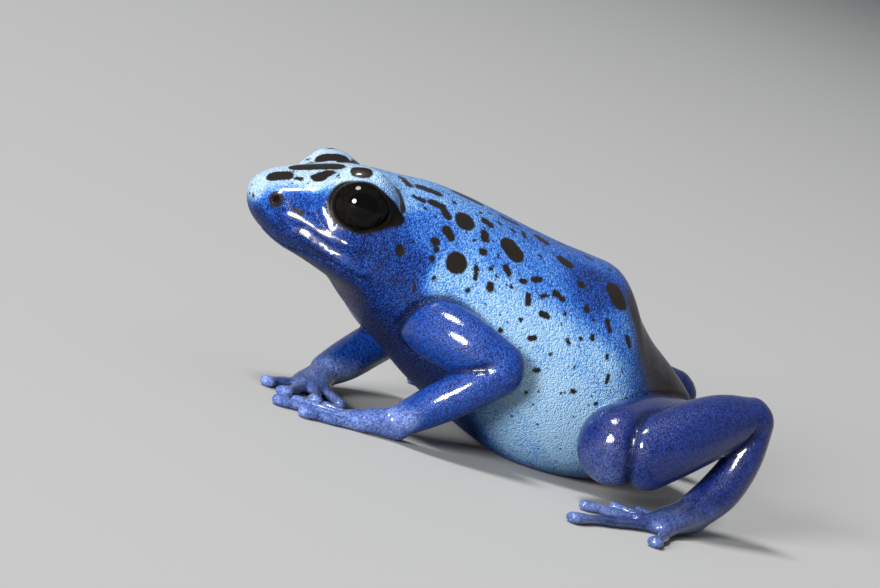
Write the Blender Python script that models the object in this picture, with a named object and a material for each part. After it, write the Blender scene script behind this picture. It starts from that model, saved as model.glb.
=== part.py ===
"""A blue poison dart frog, life size, sitting on small flats at floor level.

The frog faces -X, its left side is towards -Y and +Z is up. Lengths are in
millimetres until the last step, which turns every mesh to metres.
"""

import math

import bmesh
import bpy
import numpy as np
from mathutils import Matrix, Vector
from mathutils.bvhtree import BVHTree

# Driving sizes, in millimetres
GAP = 0.3
FLOOR = 0.0
EYE_RADIUS = 2.55
EYE_CENTRE = (-20.12, 4.35, 16.80)
EYE_GAZE = (-0.22, 0.96, 0.12)
EYE_OPENING = (2.72, 2.15)
EYE_OPENING_DROP = 0.3
# The slit between the lids widens outwards: distances along the gaze and scales
EYE_OPENING_CONE = ((0.0, 0.72), (1.2, 0.9), (2.2, 1.0), (4.0, 1.12))
LID_THICKNESS = 0.36
LID_DROP = 0.02
BODY_SIDES = 36
BODY_RINGS = 42
LIMB_SIDES = 13
DIGIT_SIDES = 8
# Turns, in degrees, of the rings that round off the ends of a limb
END_TURNS = (70.0, 45.0, 22.0)

# One row for each section of the head and body, from the snout to the vent:
# top x, top z, bottom x, bottom z, half width, height share of the widest
# line, power of the upper half's curve, power of the lower half's curve.
BODY_SECTIONS = (
    (-27.85, 15.50, -27.70, 14.35, 0.90, 0.50, 2.0, 2.0),
    (-27.45, 16.25, -27.15, 13.37, 2.05, 0.45, 2.2, 2.2),
    (-26.60, 16.95, -26.15, 12.52, 3.10, 0.39, 2.3, 2.3),
    (-25.05, 17.70, -24.49, 11.59, 4.20, 0.33, 2.25, 2.4),
    (-23.10, 18.45, -22.56, 11.09, 5.35, 0.30, 2.15, 2.5),
    (-21.00, 19.10, -20.53, 10.48, 6.55, 0.29, 2.1, 2.5),
    (-18.70, 19.50, -18.69, 9.77, 7.30, 0.33, 2.05, 2.4),
    (-16.26, 19.60, -17.02, 8.40, 7.25, 0.38, 2.0, 2.3),
    (-13.50, 19.80, -15.05, 7.10, 7.15, 0.40, 2.0, 2.2),
    (-10.40, 19.60, -12.60, 5.50, 7.55, 0.40, 2.0, 2.2),
    (-7.10, 19.10, -9.90, 3.85, 8.30, 0.40, 2.0, 2.2),
    (-3.80, 18.55, -6.80, 2.30, 8.95, 0.40, 2.0, 2.2),
    (-0.60, 18.10, -3.30, 0.75, 9.30, 0.40, 2.0, 2.3),
    (2.10, 17.85, 0.35, -0.25, 9.30, 0.40, 2.0, 2.4),
    (4.20, 17.55, 3.95, -0.30, 8.90, 0.40, 2.0, 2.4),
    (5.35, 16.70, 7.10, 0.10, 8.10, 0.41, 2.0, 2.3),
    (6.55, 15.05, 9.80, 1.25, 6.90, 0.44, 2.0, 2.2),
    (8.85, 12.90, 12.10, 3.10, 5.40, 0.47, 2.0, 2.1),
    (11.40, 11.20, 13.90, 5.20, 3.90, 0.50, 2.0, 2.0),
    (13.30, 9.80, 14.90, 6.90, 2.20, 0.50, 2.0, 2.0),
    (14.30, 8.95, 15.05, 7.70, 0.95, 0.50, 2.0, 2.0),
)
# The neck's cut: a point on it and the direction towards the torso
NECK_POINT = (-15.4, 0.0, 13.5)
NECK_DIRECTION = (0.985, 0.0, -0.17)

# The mouth's line from the front of the snout to its corner, as x and z
MOUTH_LINE = (
    (-26.15, 12.55),
    (-25.75, 12.42),
    (-25.00, 12.05),
    (-24.00, 11.90),
    (-23.20, 12.00),
    (-21.60, 12.20),
    (-20.20, 12.22),
    (-18.60, 12.02),
)
MOUTH_DEPTH = 0.26
NOSTRIL = (-26.35, 15.45)
NOSTRIL_RADIUS = 0.5
EARDRUM = (-16.75, 14.65)
EARDRUM_RADIUS = 0.65

# Limbs: rows of x, distance from the middle plane, z, half width, half height
LEFT_ARM = {
    "upper": (
        (-12.2, 4.9, 9.7, 2.35, 2.50),
        (-11.5, 6.9, 9.45, 2.45, 2.65),
        (-9.4, 9.25, 9.05, 2.25, 2.50),
        (-6.7, 10.8, 8.5, 1.80, 1.95),
    ),
    "fore": (
        (-6.6, 10.9, 8.1, 1.80, 1.85),
        (-8.9, 10.5, 5.7, 1.75, 1.75),
        (-11.1, 9.6, 3.45, 1.60, 1.60),
        (-12.4, 8.5, 1.8, 1.30, 1.35),
    ),
    "wrist": (-12.7, 8.2, 1.55),
    "heading": 10.0,
}
RIGHT_ARM = {
    "upper": (
        (-13.2, 4.9, 9.5, 2.70, 2.70),
        (-12.6, 6.9, 9.2, 2.70, 2.75),
        (-10.7, 9.1, 7.7, 2.30, 2.50),
        (-8.4, 10.3, 6.1, 1.80, 1.95),
    ),
    "fore": (
        (-8.3, 10.4, 5.8, 1.80, 1.85),
        (-10.6, 9.1, 4.1, 1.80, 1.80),
        (-13.0, 7.2, 2.6, 1.70, 1.70),
        (-14.8, 5.6, 1.75, 1.40, 1.40),
    ),
    "wrist": (-15.0, 5.4, 1.55),
    "heading": 57.0,
}
LEFT_LEG = {
    "thigh": (
        (13.0, 2.6, 6.3, 2.60, 2.75),
        (10.6, 6.0, 6.1, 3.15, 3.25),
        (7.4, 9.8, 5.9, 3.30, 3.50),
        (3.7, 13.2, 5.3, 3.10, 3.35),
    ),
    "shank": (
        (5.8, 14.7, 5.4, 2.40, 3.00),
        (7.6, 14.4, 6.7, 2.70, 2.90),
        (9.8, 13.8, 8.1, 2.60, 2.75),
        (12.1, 13.1, 9.3, 2.20, 2.45),
        (14.6, 12.5, 10.3, 1.60, 1.75),
    ),
    "tarsus": (
        (15.0, 12.5, 10.0, 1.55, 1.60),
        (14.9, 12.8, 6.9, 1.55, 1.60),
        (13.85, 13.0, 4.0, 1.65, 1.75),
        (12.1, 13.5, 1.9, 1.55, 1.55),
    ),
    "ankle": (11.8, 13.7, 1.65),
    "heading": -38.0,
}
RIGHT_LEG = {
    "thigh": (
        (13.2, 2.6, 6.7, 2.90, 3.00),
        (11.2, 6.0, 6.2, 3.30, 3.40),
        (8.2, 9.8, 5.7, 3.30, 3.50),
        (4.7, 13.0, 5.2, 3.10, 3.35),
    ),
    "shank": (
        (6.8, 14.4, 5.1, 2.40, 3.00),
        (8.8, 13.9, 5.9, 2.70, 3.05),
        (11.2, 13.0, 6.8, 2.60, 2.85),
        (14.3, 12.0, 7.2, 2.20, 2.45),
        (18.1, 11.0, 7.6, 1.60, 1.75),
    ),
    "tarsus": (
        (18.6, 10.9, 7.3, 1.55, 1.60),
        (18.0, 11.8, 5.2, 1.55, 1.60),
        (15.7, 12.9, 3.3, 1.65, 1.75),
        (13.5, 13.9, 1.8, 1.55, 1.55),
    ),
    "ankle": (13.2, 14.0, 1.65),
    "heading": -34.0,
}

# Palm and sole: rows of forward, outward, z, half width, half height, counted
# from the wrist or ankle along the hand's or foot's heading
PALM = (
    (-0.2, 0.0, 1.35, 1.20, 1.35),
    (1.5, 0.0, 1.05, 1.40, 1.10),
    (3.0, 0.1, 0.75, 1.55, 0.85),
    (4.0, 0.1, 0.60, 1.30, 0.65),
)
SOLE = (
    (-0.2, 0.0, 1.55, 1.50, 1.50),
    (2.0, 0.0, 1.15, 1.55, 1.20),
    (4.2, 0.1, 0.85, 1.60, 0.95),
    (6.0, 0.1, 0.62, 1.30, 0.68),
)
# Digits: root forward, root outward, length, angle outwards in degrees, bend
# of the tip in degrees, half width of the disc at the tip
FINGERS = (
    (2.2, -0.9, 3.9, -46.0, 14.0, 0.55),
    (2.9, -0.5, 5.2, -19.0, 6.0, 0.68),
    (3.1, 0.2, 6.6, 0.0, 2.0, 0.78),
    (2.6, 0.8, 5.4, 21.0, -8.0, 0.70),
)
TOES = (
    (2.0, -0.9, 2.7, -100.0, 18.0, 0.45),
    (3.4, -0.9, 3.8, -80.0, 14.0, 0.52),
    (4.8, -0.8, 5.9, -42.0, 8.0, 0.60),
    (5.4, 0.1, 11.0, -10.0, 5.0, 0.70),
    (4.6, 0.9, 7.5, 24.0, -6.0, 0.68),
)
DIGIT_HALF_WIDTH = 0.50
DIGIT_HALF_HEIGHT = 0.48
DIGIT_HEIGHT = 0.44
DIGIT_ROOT_LENGTH = 1.1

BLUE = (0.012, 0.045, 0.42)
PALE_BLUE = (0.10, 0.36, 0.80)
BLACK = (0.012, 0.010, 0.010)


# Meshes and materials


def clear_scene():
    for item in list(bpy.data.objects):
        bpy.data.objects.remove(item)


def skin_material(name, colour, roughness):
    material = bpy.data.materials.new(name)
    material.use_nodes = True
    shader = material.node_tree.nodes["Principled BSDF"]
    shader.inputs["Base Color"].default_value = (*colour, 1.0)
    shader.inputs["Roughness"].default_value = roughness
    shader.inputs["Metallic"].default_value = 0.0
    return material


def object_of(name, bm):
    """A new mesh object made from a bmesh, whose faces then point outwards."""
    bmesh.ops.recalc_face_normals(bm, faces=bm.faces)
    mesh = bpy.data.meshes.new(name)
    bm.to_mesh(mesh)
    bm.free()
    mesh.shade_smooth()
    made = bpy.data.objects.new(name, mesh)
    bpy.context.scene.collection.objects.link(made)
    return made


def skinned_rings(name, rings, first_pole, last_pole):
    """A closed mesh through rings of equal length, with a point at each end."""
    bm = bmesh.new()
    loops = [[bm.verts.new(point) for point in ring] for ring in rings]
    sides = len(loops[0])
    for near, far in zip(loops, loops[1:]):
        for k in range(sides):
            after = (k + 1) % sides
            bm.faces.new((near[k], near[after], far[after], far[k]))
    for loop, pole in ((loops[0], first_pole), (loops[-1], last_pole)):
        tip = bm.verts.new(pole)
        for k in range(sides):
            bm.faces.new((loop[k], loop[(k + 1) % sides], tip))
    return object_of(name, bm)


def smooth_rows(rows, count, places):
    """Rows read evenly from a smooth curve through the given rows.

    The first columns, as many as places, are the position that spaces them.
    """
    rows = np.array(rows, float)
    steps = np.linalg.norm(np.diff(rows[:, :places], axis=0), axis=1)
    at = np.concatenate(([0.0], np.cumsum(steps)))
    slopes = np.gradient(rows, at, axis=0)
    made = []
    for wanted in np.linspace(0.0, at[-1], count):
        k = min(int(np.searchsorted(at, wanted, side="right")) - 1, len(at) - 2)
        span = at[k + 1] - at[k]
        t = (wanted - at[k]) / span
        made.append(
            (2 * t**3 - 3 * t**2 + 1) * rows[k]
            + (t**3 - 2 * t**2 + t) * span * slopes[k]
            + (3 * t**2 - 2 * t**3) * rows[k + 1]
            + (t**3 - t**2) * span * slopes[k + 1]
        )
    return np.array(made)


def powered(value, power):
    return math.copysign(abs(value) ** (2.0 / power), value)


def ring_points(centre, side, up, half_width, rise, drop, powers, sides):
    """A closed section: half_width to each side, rise above and drop below."""
    points = []
    for k in range(sides):
        angle = 2 * math.pi * (k + 0.5) / sides
        across, height = math.cos(angle), math.sin(angle)
        power = powers[0] if height > 0 else powers[1]
        reach = rise if height > 0 else drop
        points.append(
            centre
            + side * half_width * powered(across, power)
            + up * reach * powered(height, power)
        )
    return points


def body_solid(name, grow=0.0):
    """The whole head and body as one closed mesh, larger by grow all round."""
    rows = smooth_rows(BODY_SECTIONS, BODY_RINGS, 4)
    rings = []
    for top_x, top_z, low_x, low_z, half_width, share, upper, lower in rows:
        top = Vector((top_x, 0.0, top_z))
        low = Vector((low_x, 0.0, low_z))
        up = (top - low).normalized()
        height = (top - low).length
        centre = low + up * height * share
        rise = height * (1 - share) + grow
        drop = height * share + grow
        rings.append(
            ring_points(
                centre,
                Vector((0.0, 1.0, 0.0)),
                up,
                half_width + grow,
                rise,
                drop,
                (upper, lower),
                BODY_SIDES,
            )
        )
    first, last = BODY_SECTIONS[0], BODY_SECTIONS[-1]
    nose = Vector((first[0] - 0.12 - grow, 0.0, (first[1] + first[3]) / 2))
    vent = Vector((last[2] + 0.25 + grow, 0.0, (last[1] + last[3]) / 2 - 0.2))
    return skinned_rings(name, rings, nose, vent)


def tube(name, rows, rings, sides, grow=0.0):
    """A limb along rows of x, y, z, half width and half height, with its ends rounded."""
    rows = smooth_rows(rows, rings, 3)
    centres = [Vector(row[:3]) for row in rows]
    along = [
        (centres[min(i + 1, len(rows) - 1)] - centres[max(i - 1, 0)]).normalized()
        for i in range(len(rows))
    ]
    frames = []
    side = along[0].cross(Vector((0.0, 0.0, 1.0)))
    if side.length < 0.3:
        side = along[0].cross(Vector((1.0, 0.0, 0.0)))
    for direction in along:
        side = (side - direction * side.dot(direction)).normalized()
        frames.append((side, side.cross(direction).normalized()))
    loops = []

    def add(i, shift, scale):
        side, up = frames[i]
        half_width = (rows[i][3] + grow) * scale
        half_height = (rows[i][4] + grow) * scale
        centre = centres[i] + along[i] * shift
        loops.append(
            ring_points(centre, side, up, half_width, half_height, half_height, (2.0, 2.0), sides)
        )

    turns = [math.radians(turn) for turn in END_TURNS]
    start_reach = min(rows[0][3], rows[0][4]) + grow
    end_reach = min(rows[-1][3], rows[-1][4]) + grow
    for turn in turns:
        add(0, -start_reach * math.sin(turn), math.cos(turn))
    for i in range(len(rows)):
        add(i, 0.0, 1.0)
    for turn in reversed(turns):
        add(-1, end_reach * math.sin(turn), math.cos(turn))
    first = centres[0] - along[0] * start_reach
    last = centres[-1] + along[-1] * end_reach
    return skinned_rings(name, loops, first, last)


def ball(name, centre, radius, stretch=(1.0, 1.0, 1.0), fine=16):
    bm = bmesh.new()
    bmesh.ops.create_uvsphere(bm, u_segments=fine * 2, v_segments=fine, radius=radius)
    bmesh.ops.scale(bm, verts=bm.verts, vec=stretch)
    bmesh.ops.translate(bm, verts=bm.verts, vec=centre)
    return object_of(name, bm)


# Joining and cutting


def combine(target, other, operation, keep_other=False):
    """Applies a Boolean of the two meshes to the target."""
    modifier = target.modifiers.new(operation, "BOOLEAN")
    modifier.operation = operation
    modifier.solver = "EXACT"
    modifier.object = other
    apply_modifiers(target)
    if not keep_other:
        bpy.data.objects.remove(other)
    return target


def apply_modifiers(target):
    graph = bpy.context.evaluated_depsgraph_get()
    graph.update()
    mesh = bpy.data.meshes.new_from_object(target.evaluated_get(graph))
    target.modifiers.clear()
    target.data = mesh


def keep_beyond(target, point, direction):
    """Cuts the mesh with a plane, keeps what lies along direction and closes it."""
    bm = bmesh.new()
    bm.from_mesh(target.data)
    geometry = bm.verts[:] + bm.edges[:] + bm.faces[:]
    cut = bmesh.ops.bisect_plane(
        bm,
        geom=geometry,
        dist=1e-5,
        plane_co=point,
        plane_no=direction,
        clear_inner=True,
    )["geom_cut"]
    rim = [item for item in cut if isinstance(item, bmesh.types.BMEdge)]
    bmesh.ops.contextual_create(bm, geom=rim)
    bmesh.ops.triangulate(bm, faces=[f for f in bm.faces if len(f.verts) > 4])
    bmesh.ops.recalc_face_normals(bm, faces=bm.faces)
    bm.to_mesh(target.data)
    bm.free()


def largest_piece(target):
    """Drops every loose scrap, so that one closed surface is left."""
    bm = bmesh.new()
    bm.from_mesh(target.data)
    bm.verts.ensure_lookup_table()
    unseen = set(bm.verts)
    pieces = []
    while unseen:
        stack = [unseen.pop()]
        piece = list(stack)
        while stack:
            for edge in stack.pop().link_edges:
                for vert in edge.verts:
                    if vert in unseen:
                        unseen.remove(vert)
                        stack.append(vert)
                        piece.append(vert)
        pieces.append(piece)
    pieces.sort(key=len)
    for piece in pieces[:-1]:
        bmesh.ops.delete(bm, geom=piece, context="VERTS")
    bm.to_mesh(target.data)
    bm.free()


def rest_on_floor(target):
    keep_beyond(target, (0.0, 0.0, FLOOR), (0.0, 0.0, 1.0))


def copy_of(item, name):
    made = bpy.data.objects.new(name, item.data.copy())
    bpy.context.scene.collection.objects.link(made)
    return made


def on_side(rows, side):
    """Limb rows moved to the left, side -1, or the right, side 1."""
    return [(row[0], side * row[1], *row[2:]) for row in rows]


# Head


def tree_of(item):
    bm = bmesh.new()
    bm.from_mesh(item.data)
    tree = BVHTree.FromBMesh(bm)
    bm.free()
    return tree


def side_point(tree, x, z, side):
    """The point of the surface met from the side at a height and length."""
    start = Vector((x, side * 30.0, z))
    hit, normal, _, _ = tree.ray_cast(start, Vector((0.0, -side, 0.0)))
    return hit, normal


def rod(name, points, radius):
    """A thin tube through the points, as a closed mesh."""
    curve = bpy.data.curves.new(name, "CURVE")
    curve.dimensions = "3D"
    curve.bevel_depth = radius
    curve.bevel_resolution = 1
    curve.use_fill_caps = True
    spline = curve.splines.new("POLY")
    spline.points.add(len(points) - 1)
    for place, point in zip(spline.points, points):
        place.co = (*point, 1.0)
    holder = bpy.data.objects.new(name, curve)
    bpy.context.scene.collection.objects.link(holder)
    graph = bpy.context.evaluated_depsgraph_get()
    mesh = bpy.data.meshes.new_from_object(holder.evaluated_get(graph))
    bpy.data.objects.remove(holder)
    bm = bmesh.new()
    bm.from_mesh(mesh)
    bmesh.ops.remove_doubles(bm, verts=bm.verts, dist=1e-4)
    return object_of(name, bm)


def mouth_groove(tree):
    """A rod along the mouth's line, from corner to corner round the snout."""
    rows = smooth_rows(MOUTH_LINE, 12, 2)
    left = [side_point(tree, x, z, -1)[0] for x, z in rows[1:]]
    right = [side_point(tree, x, z, 1)[0] for x, z in rows[1:]]
    front = tree.ray_cast(Vector((-40.0, 0.0, MOUTH_LINE[0][1])), Vector((1.0, 0.0, 0.0)))[0]
    line = [*reversed(left), front, *right]
    return rod("mouth_groove", line, MOUTH_DEPTH)


def eye_frame(side):
    gaze = Vector((EYE_GAZE[0], side * EYE_GAZE[1], EYE_GAZE[2])).normalized()
    centre = Vector((EYE_CENTRE[0], side * EYE_CENTRE[1], EYE_CENTRE[2]))
    along = Vector((1.0, 0.0, 0.0))
    along = (along - gaze * along.dot(gaze)).normalized()
    upward = gaze.cross(along).normalized() * -side
    return centre, gaze, along, upward


def add_lids(head, side):
    """A bulge over the eye, with the socket and the slit between the lids cut out."""
    centre, gaze, along, upward = eye_frame(side)
    socket_radius = EYE_RADIUS + GAP
    middle = centre - gaze * 0.2 - Vector((0.0, 0.0, LID_DROP))
    dome = ball("dome", middle, socket_radius + LID_THICKNESS, fine=11)
    combine(head, dome, "UNION")
    opening = []
    slit_middle = centre - upward * EYE_OPENING_DROP
    for distance, scale in EYE_OPENING_CONE:
        opening.append(
            ring_points(
                slit_middle + gaze * distance,
                along,
                upward,
                EYE_OPENING[0] * scale,
                EYE_OPENING[1] * scale,
                EYE_OPENING[1] * scale,
                (2.0, 2.0),
                24,
            )
        )
    deepest = EYE_OPENING_CONE[-1][0] + GAP
    slit = skinned_rings("slit", opening, slit_middle, slit_middle + gaze * deepest)
    combine(head, slit, "DIFFERENCE")
    socket = ball("socket", centre, socket_radius, fine=11)
    combine(head, socket, "DIFFERENCE")


def add_nostril(head, tree, side):
    """A raised ring with a pit in the middle."""
    hit, normal = side_point(tree, *NOSTRIL, side)
    turn = normal.to_track_quat("Z", "Y").to_matrix().to_4x4()
    place = Matrix.Translation(hit - normal * 0.12) @ turn
    bm = bmesh.new()
    bmesh.ops.create_uvsphere(bm, u_segments=14, v_segments=8, radius=NOSTRIL_RADIUS)
    bmesh.ops.scale(bm, verts=bm.verts, vec=(1.0, 1.0, 0.6))
    bmesh.ops.transform(bm, matrix=place, verts=bm.verts)
    combine(head, object_of("nostril_rim", bm), "UNION")
    bm = bmesh.new()
    bmesh.ops.create_uvsphere(bm, u_segments=10, v_segments=8, radius=NOSTRIL_RADIUS * 0.5)
    bmesh.ops.translate(bm, verts=bm.verts, vec=(0.0, 0.0, NOSTRIL_RADIUS * 0.55))
    bmesh.ops.transform(bm, matrix=place, verts=bm.verts)
    combine(head, object_of("nostril_pit", bm), "DIFFERENCE")


def add_eardrum(head, tree, side):
    """A shallow round dish behind the eye."""
    hit, normal = side_point(tree, *EARDRUM, side)
    dish = ball("dish", hit + normal * (EARDRUM_RADIUS * 0.8), EARDRUM_RADIUS * 1.25, fine=8)
    combine(head, dish, "DIFFERENCE")


def make_head(whole):
    head = copy_of(whole, "head")
    keep_beyond(head, Vector(NECK_POINT), -Vector(NECK_DIRECTION))
    tree = tree_of(head)
    combine(head, mouth_groove(tree), "DIFFERENCE")
    for side in (-1, 1):
        add_lids(head, side)
        add_nostril(head, tree, side)
        add_eardrum(head, tree, side)
    largest_piece(head)
    return head


def make_torso(whole):
    torso = copy_of(whole, "torso")
    start = Vector(NECK_POINT) + Vector(NECK_DIRECTION).normalized() * GAP
    keep_beyond(torso, start, Vector(NECK_DIRECTION))
    rest_on_floor(torso)
    return torso


def make_eye(side, name):
    centre, _, _, _ = eye_frame(side)
    return ball(name, centre, EYE_RADIUS, fine=10)


# Limbs


def joint_plane(above, below):
    """The plane that halves the fold between two limb lengths, as point and direction."""
    corner = (Vector(above[-1][:3]) + Vector(below[0][:3])) / 2
    up_limb = (Vector(above[-2][:3]) - corner).normalized()
    down_limb = (Vector(below[1][:3]) - corner).normalized()
    return corner, (up_limb - down_limb).normalized()


def heading_frame(side, origin, heading):
    """Maps forward, outward and height at a wrist or ankle to the frog's frame."""
    turn = math.radians(heading)
    forward = Vector((-math.cos(turn), -side * math.sin(turn), 0.0))
    outward = Vector((-math.sin(turn), side * math.cos(turn), 0.0))

    def place(along, across, height):
        point = Vector((origin[0], side * origin[1], 0.0))
        return point + forward * along + outward * across + Vector((0.0, 0.0, height))

    return place


def digit_path(place, digit, start, end, disc):
    """Rows along a finger or toe, between two shares of its length."""
    forward, outward, length, angle, bend, disc_half = digit
    rows = []
    shares = np.linspace(0.0, 1.0, 11)
    x, y = forward, outward
    points = []
    for k, share in enumerate(shares):
        points.append((x, y))
        turn = math.radians(angle + bend * share)
        step = length / (len(shares) - 1)
        x += step * math.cos(turn)
        y += step * math.sin(turn)
    for share, (along, across) in zip(shares, points):
        if not start - 1e-6 <= share <= end + 1e-6:
            continue
        root = max(0.0, 1.0 - share / 0.35)
        knuckle = 0.05 * math.cos(share * 4 * math.pi)
        half_width = DIGIT_HALF_WIDTH + 0.22 * root + knuckle
        half_height = DIGIT_HALF_HEIGHT + 0.12 * root + knuckle * 0.6
        if disc and share > 0.85:
            half_width = disc_half
            half_height = DIGIT_HALF_HEIGHT + 0.02
        height = DIGIT_HEIGHT + 0.12 * root
        rows.append((*place(along, across, height), half_width, half_height))
    return rows


def placed_rows(place, rows):
    return [(*place(row[0], row[1], row[2]), row[3], row[4]) for row in rows]


def make_digits(prefix, label, place, digits, paw_rows, blue):
    """Each finger or toe in a node of its own, and the stubs that the palm or sole keeps."""
    stubs = []
    clearance = tube("clearance", placed_rows(place, paw_rows), 6, LIMB_SIDES, grow=GAP)
    for number, digit in enumerate(digits, start=1):
        root_share = DIGIT_ROOT_LENGTH / digit[2]
        rows = digit_path(place, digit, 0.0, 1.0, True)
        whole = tube(f"{prefix}_{label}_{number}", rows, 9, DIGIT_SIDES)
        stub = copy_of(whole, "stub")
        joint = place(*step_along(digit, root_share), DIGIT_HEIGHT)
        ahead = place(*step_along(digit, root_share + 0.1), DIGIT_HEIGHT)
        direction = (ahead - joint).normalized()
        keep_beyond(whole, joint + direction * GAP / 2, direction)
        keep_beyond(stub, joint - direction * GAP / 2, -direction)
        combine(whole, clearance, "DIFFERENCE", keep_other=True)
        rest_on_floor(whole)
        largest_piece(whole)
        whole.data.materials.clear()
        whole.data.materials.append(blue)
        stubs.append(stub)
    bpy.data.objects.remove(clearance)
    return stubs


def step_along(digit, share):
    """Where a digit's middle line is at a share of its length, near its root."""
    forward, outward, length, angle, _, _ = digit
    turn = math.radians(angle)
    return forward + length * share * math.cos(turn), outward + length * share * math.sin(turn)


def make_paw(name, place, rows, stubs, cuts):
    """A palm or sole joined with the roots of its digits, then cut clear of its limb."""
    paw = tube(name, placed_rows(place, rows), 6, LIMB_SIDES)
    for stub in stubs:
        combine(paw, stub, "UNION")
    for point, direction in cuts:
        keep_beyond(paw, point, direction)
    rest_on_floor(paw)
    largest_piece(paw)
    return paw


def make_arm(side, label, sizes, body_cutter, blue):
    upper_rows = on_side(sizes["upper"], side)
    fore_rows = on_side(sizes["fore"], side)
    upper = tube(f"upper_arm_{label}", upper_rows, 8, LIMB_SIDES)
    fore = tube(f"forearm_{label}", fore_rows, 8, LIMB_SIDES)
    corner, away = joint_plane(upper_rows, fore_rows)
    keep_beyond(upper, corner + away * GAP / 2, away)
    keep_beyond(fore, corner - away * GAP / 2, -away)
    combine(upper, body_cutter, "DIFFERENCE", keep_other=True)
    combine(fore, body_cutter, "DIFFERENCE", keep_other=True)
    largest_piece(upper)
    largest_piece(fore)
    place = heading_frame(side, sizes["wrist"], sizes["heading"])
    wrist = Vector(fore_rows[-1][:3])
    down_arm = (wrist - Vector(fore_rows[-2][:3])).normalized()
    towards_hand = (down_arm + (place(1, 0, 0) - place(0, 0, 0))).normalized()
    keep_beyond(fore, wrist - towards_hand * GAP / 2, -towards_hand)
    stubs = make_digits(f"hand_{label}", "finger", place, FINGERS, PALM, blue)
    cuts = [(wrist + towards_hand * GAP / 2, towards_hand)]
    palm = make_paw(f"hand_{label}_palm", place, PALM, stubs, cuts)
    for node in (upper, fore, palm):
        node.data.materials.clear()
        node.data.materials.append(blue)


def make_leg(side, label, sizes, body_cutter, blue):
    thigh_rows = on_side(sizes["thigh"], side)
    shank_rows = on_side(sizes["shank"], side)
    tarsus_rows = on_side(sizes["tarsus"], side)
    thigh = tube(f"thigh_{label}", thigh_rows, 9, LIMB_SIDES + 3)
    combine(thigh, body_cutter, "DIFFERENCE", keep_other=True)
    largest_piece(thigh)
    shank = tube(f"shank_{label}", shank_rows, 8, LIMB_SIDES + 2)
    thigh_cutter = tube("thigh_cutter", thigh_rows, 9, LIMB_SIDES + 3, grow=GAP)
    combine(shank, thigh_cutter, "DIFFERENCE")
    combine(shank, body_cutter, "DIFFERENCE", keep_other=True)
    tarsus = tube(f"tarsus_{label}", tarsus_rows, 8, LIMB_SIDES)
    corner, away = joint_plane(shank_rows, tarsus_rows)
    keep_beyond(shank, corner + away * GAP / 2, away)
    keep_beyond(tarsus, corner - away * GAP / 2, -away)
    largest_piece(shank)
    largest_piece(tarsus)
    place = heading_frame(side, sizes["ankle"], sizes["heading"])
    ankle = Vector(tarsus_rows[-1][:3])
    down_leg = (ankle - Vector(tarsus_rows[-2][:3])).normalized()
    towards_foot = (down_leg + (place(1, 0, 0) - place(0, 0, 0))).normalized()
    keep_beyond(tarsus, ankle - towards_foot * GAP / 2, -towards_foot)
    stubs = make_digits(f"foot_{label}", "toe", place, TOES, SOLE, blue)
    cuts = [(ankle + towards_foot * GAP / 2, towards_foot)]
    sole = make_paw(f"foot_{label}_sole", place, SOLE, stubs, cuts)
    for node in (thigh, shank, tarsus, sole):
        node.data.materials.clear()
        node.data.materials.append(blue)


# The whole frog


def finish_nodes():
    """Puts the origin under the middle of the frog's box and turns millimetres to metres."""
    nodes = [item for item in bpy.data.objects if item.type == "MESH"]
    corners = np.array([vert.co for item in nodes for vert in item.data.vertices])
    low, high = corners.min(axis=0), corners.max(axis=0)
    middle = (low + high) / 2
    shift = Matrix.Translation((-middle[0], -middle[1], -low[2]))
    for item in nodes:
        item.data.transform(Matrix.Scale(0.001, 4) @ shift)
        item.data.shade_smooth()


def main():
    clear_scene()
    blue = skin_material("deep_blue_skin", BLUE, 0.3)
    pale = skin_material("pale_blue_skin", PALE_BLUE, 0.4)
    black = skin_material("black_eye", BLACK, 0.08)
    whole = body_solid("whole")
    cutter = body_solid("cutter", grow=GAP)
    head = make_head(whole)
    torso = make_torso(whole)
    bpy.data.objects.remove(whole)
    for node in (head, torso):
        node.data.materials.clear()
        node.data.materials.append(pale)
    for side, label in ((-1, "left"), (1, "right")):
        make_eye(side, f"eye_{label}").data.materials.append(black)
    make_arm(-1, "left", LEFT_ARM, cutter, blue)
    make_arm(1, "right", RIGHT_ARM, cutter, blue)
    make_leg(-1, "left", LEFT_LEG, cutter, blue)
    make_leg(1, "right", RIGHT_LEG, cutter, blue)
    bpy.data.objects.remove(cutter)
    finish_nodes()


main()
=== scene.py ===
"""The looks of a life-size blue poison dart frog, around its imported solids.

The skin is one piece over all the solids of flesh. It is shaped in millimetres, with the
frog facing -X, its left side towards -Y and its middle plane at zero, and then put in place.
"""

import math

import bpy
import numpy as np
from mathutils import Matrix, Vector
from mathutils.bvhtree import BVHTree


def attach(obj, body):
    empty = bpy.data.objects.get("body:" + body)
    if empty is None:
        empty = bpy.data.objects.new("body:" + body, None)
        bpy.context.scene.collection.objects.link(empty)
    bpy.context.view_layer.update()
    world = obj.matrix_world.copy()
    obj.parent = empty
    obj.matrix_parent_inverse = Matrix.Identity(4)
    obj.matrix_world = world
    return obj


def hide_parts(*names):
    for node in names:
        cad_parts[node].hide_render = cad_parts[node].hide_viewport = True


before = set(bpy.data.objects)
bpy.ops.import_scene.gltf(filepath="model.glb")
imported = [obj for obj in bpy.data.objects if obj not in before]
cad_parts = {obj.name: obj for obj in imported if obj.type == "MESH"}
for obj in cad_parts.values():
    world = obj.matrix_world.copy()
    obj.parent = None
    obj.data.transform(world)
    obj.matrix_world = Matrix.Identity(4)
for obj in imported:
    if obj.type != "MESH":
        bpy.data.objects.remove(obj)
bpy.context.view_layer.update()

MM = 0.001
# Where the middle of the frog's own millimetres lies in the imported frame
FROG_PLACE = (3.9353, 0.097, 0.0)
SKIN_GRID = 0.26

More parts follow.
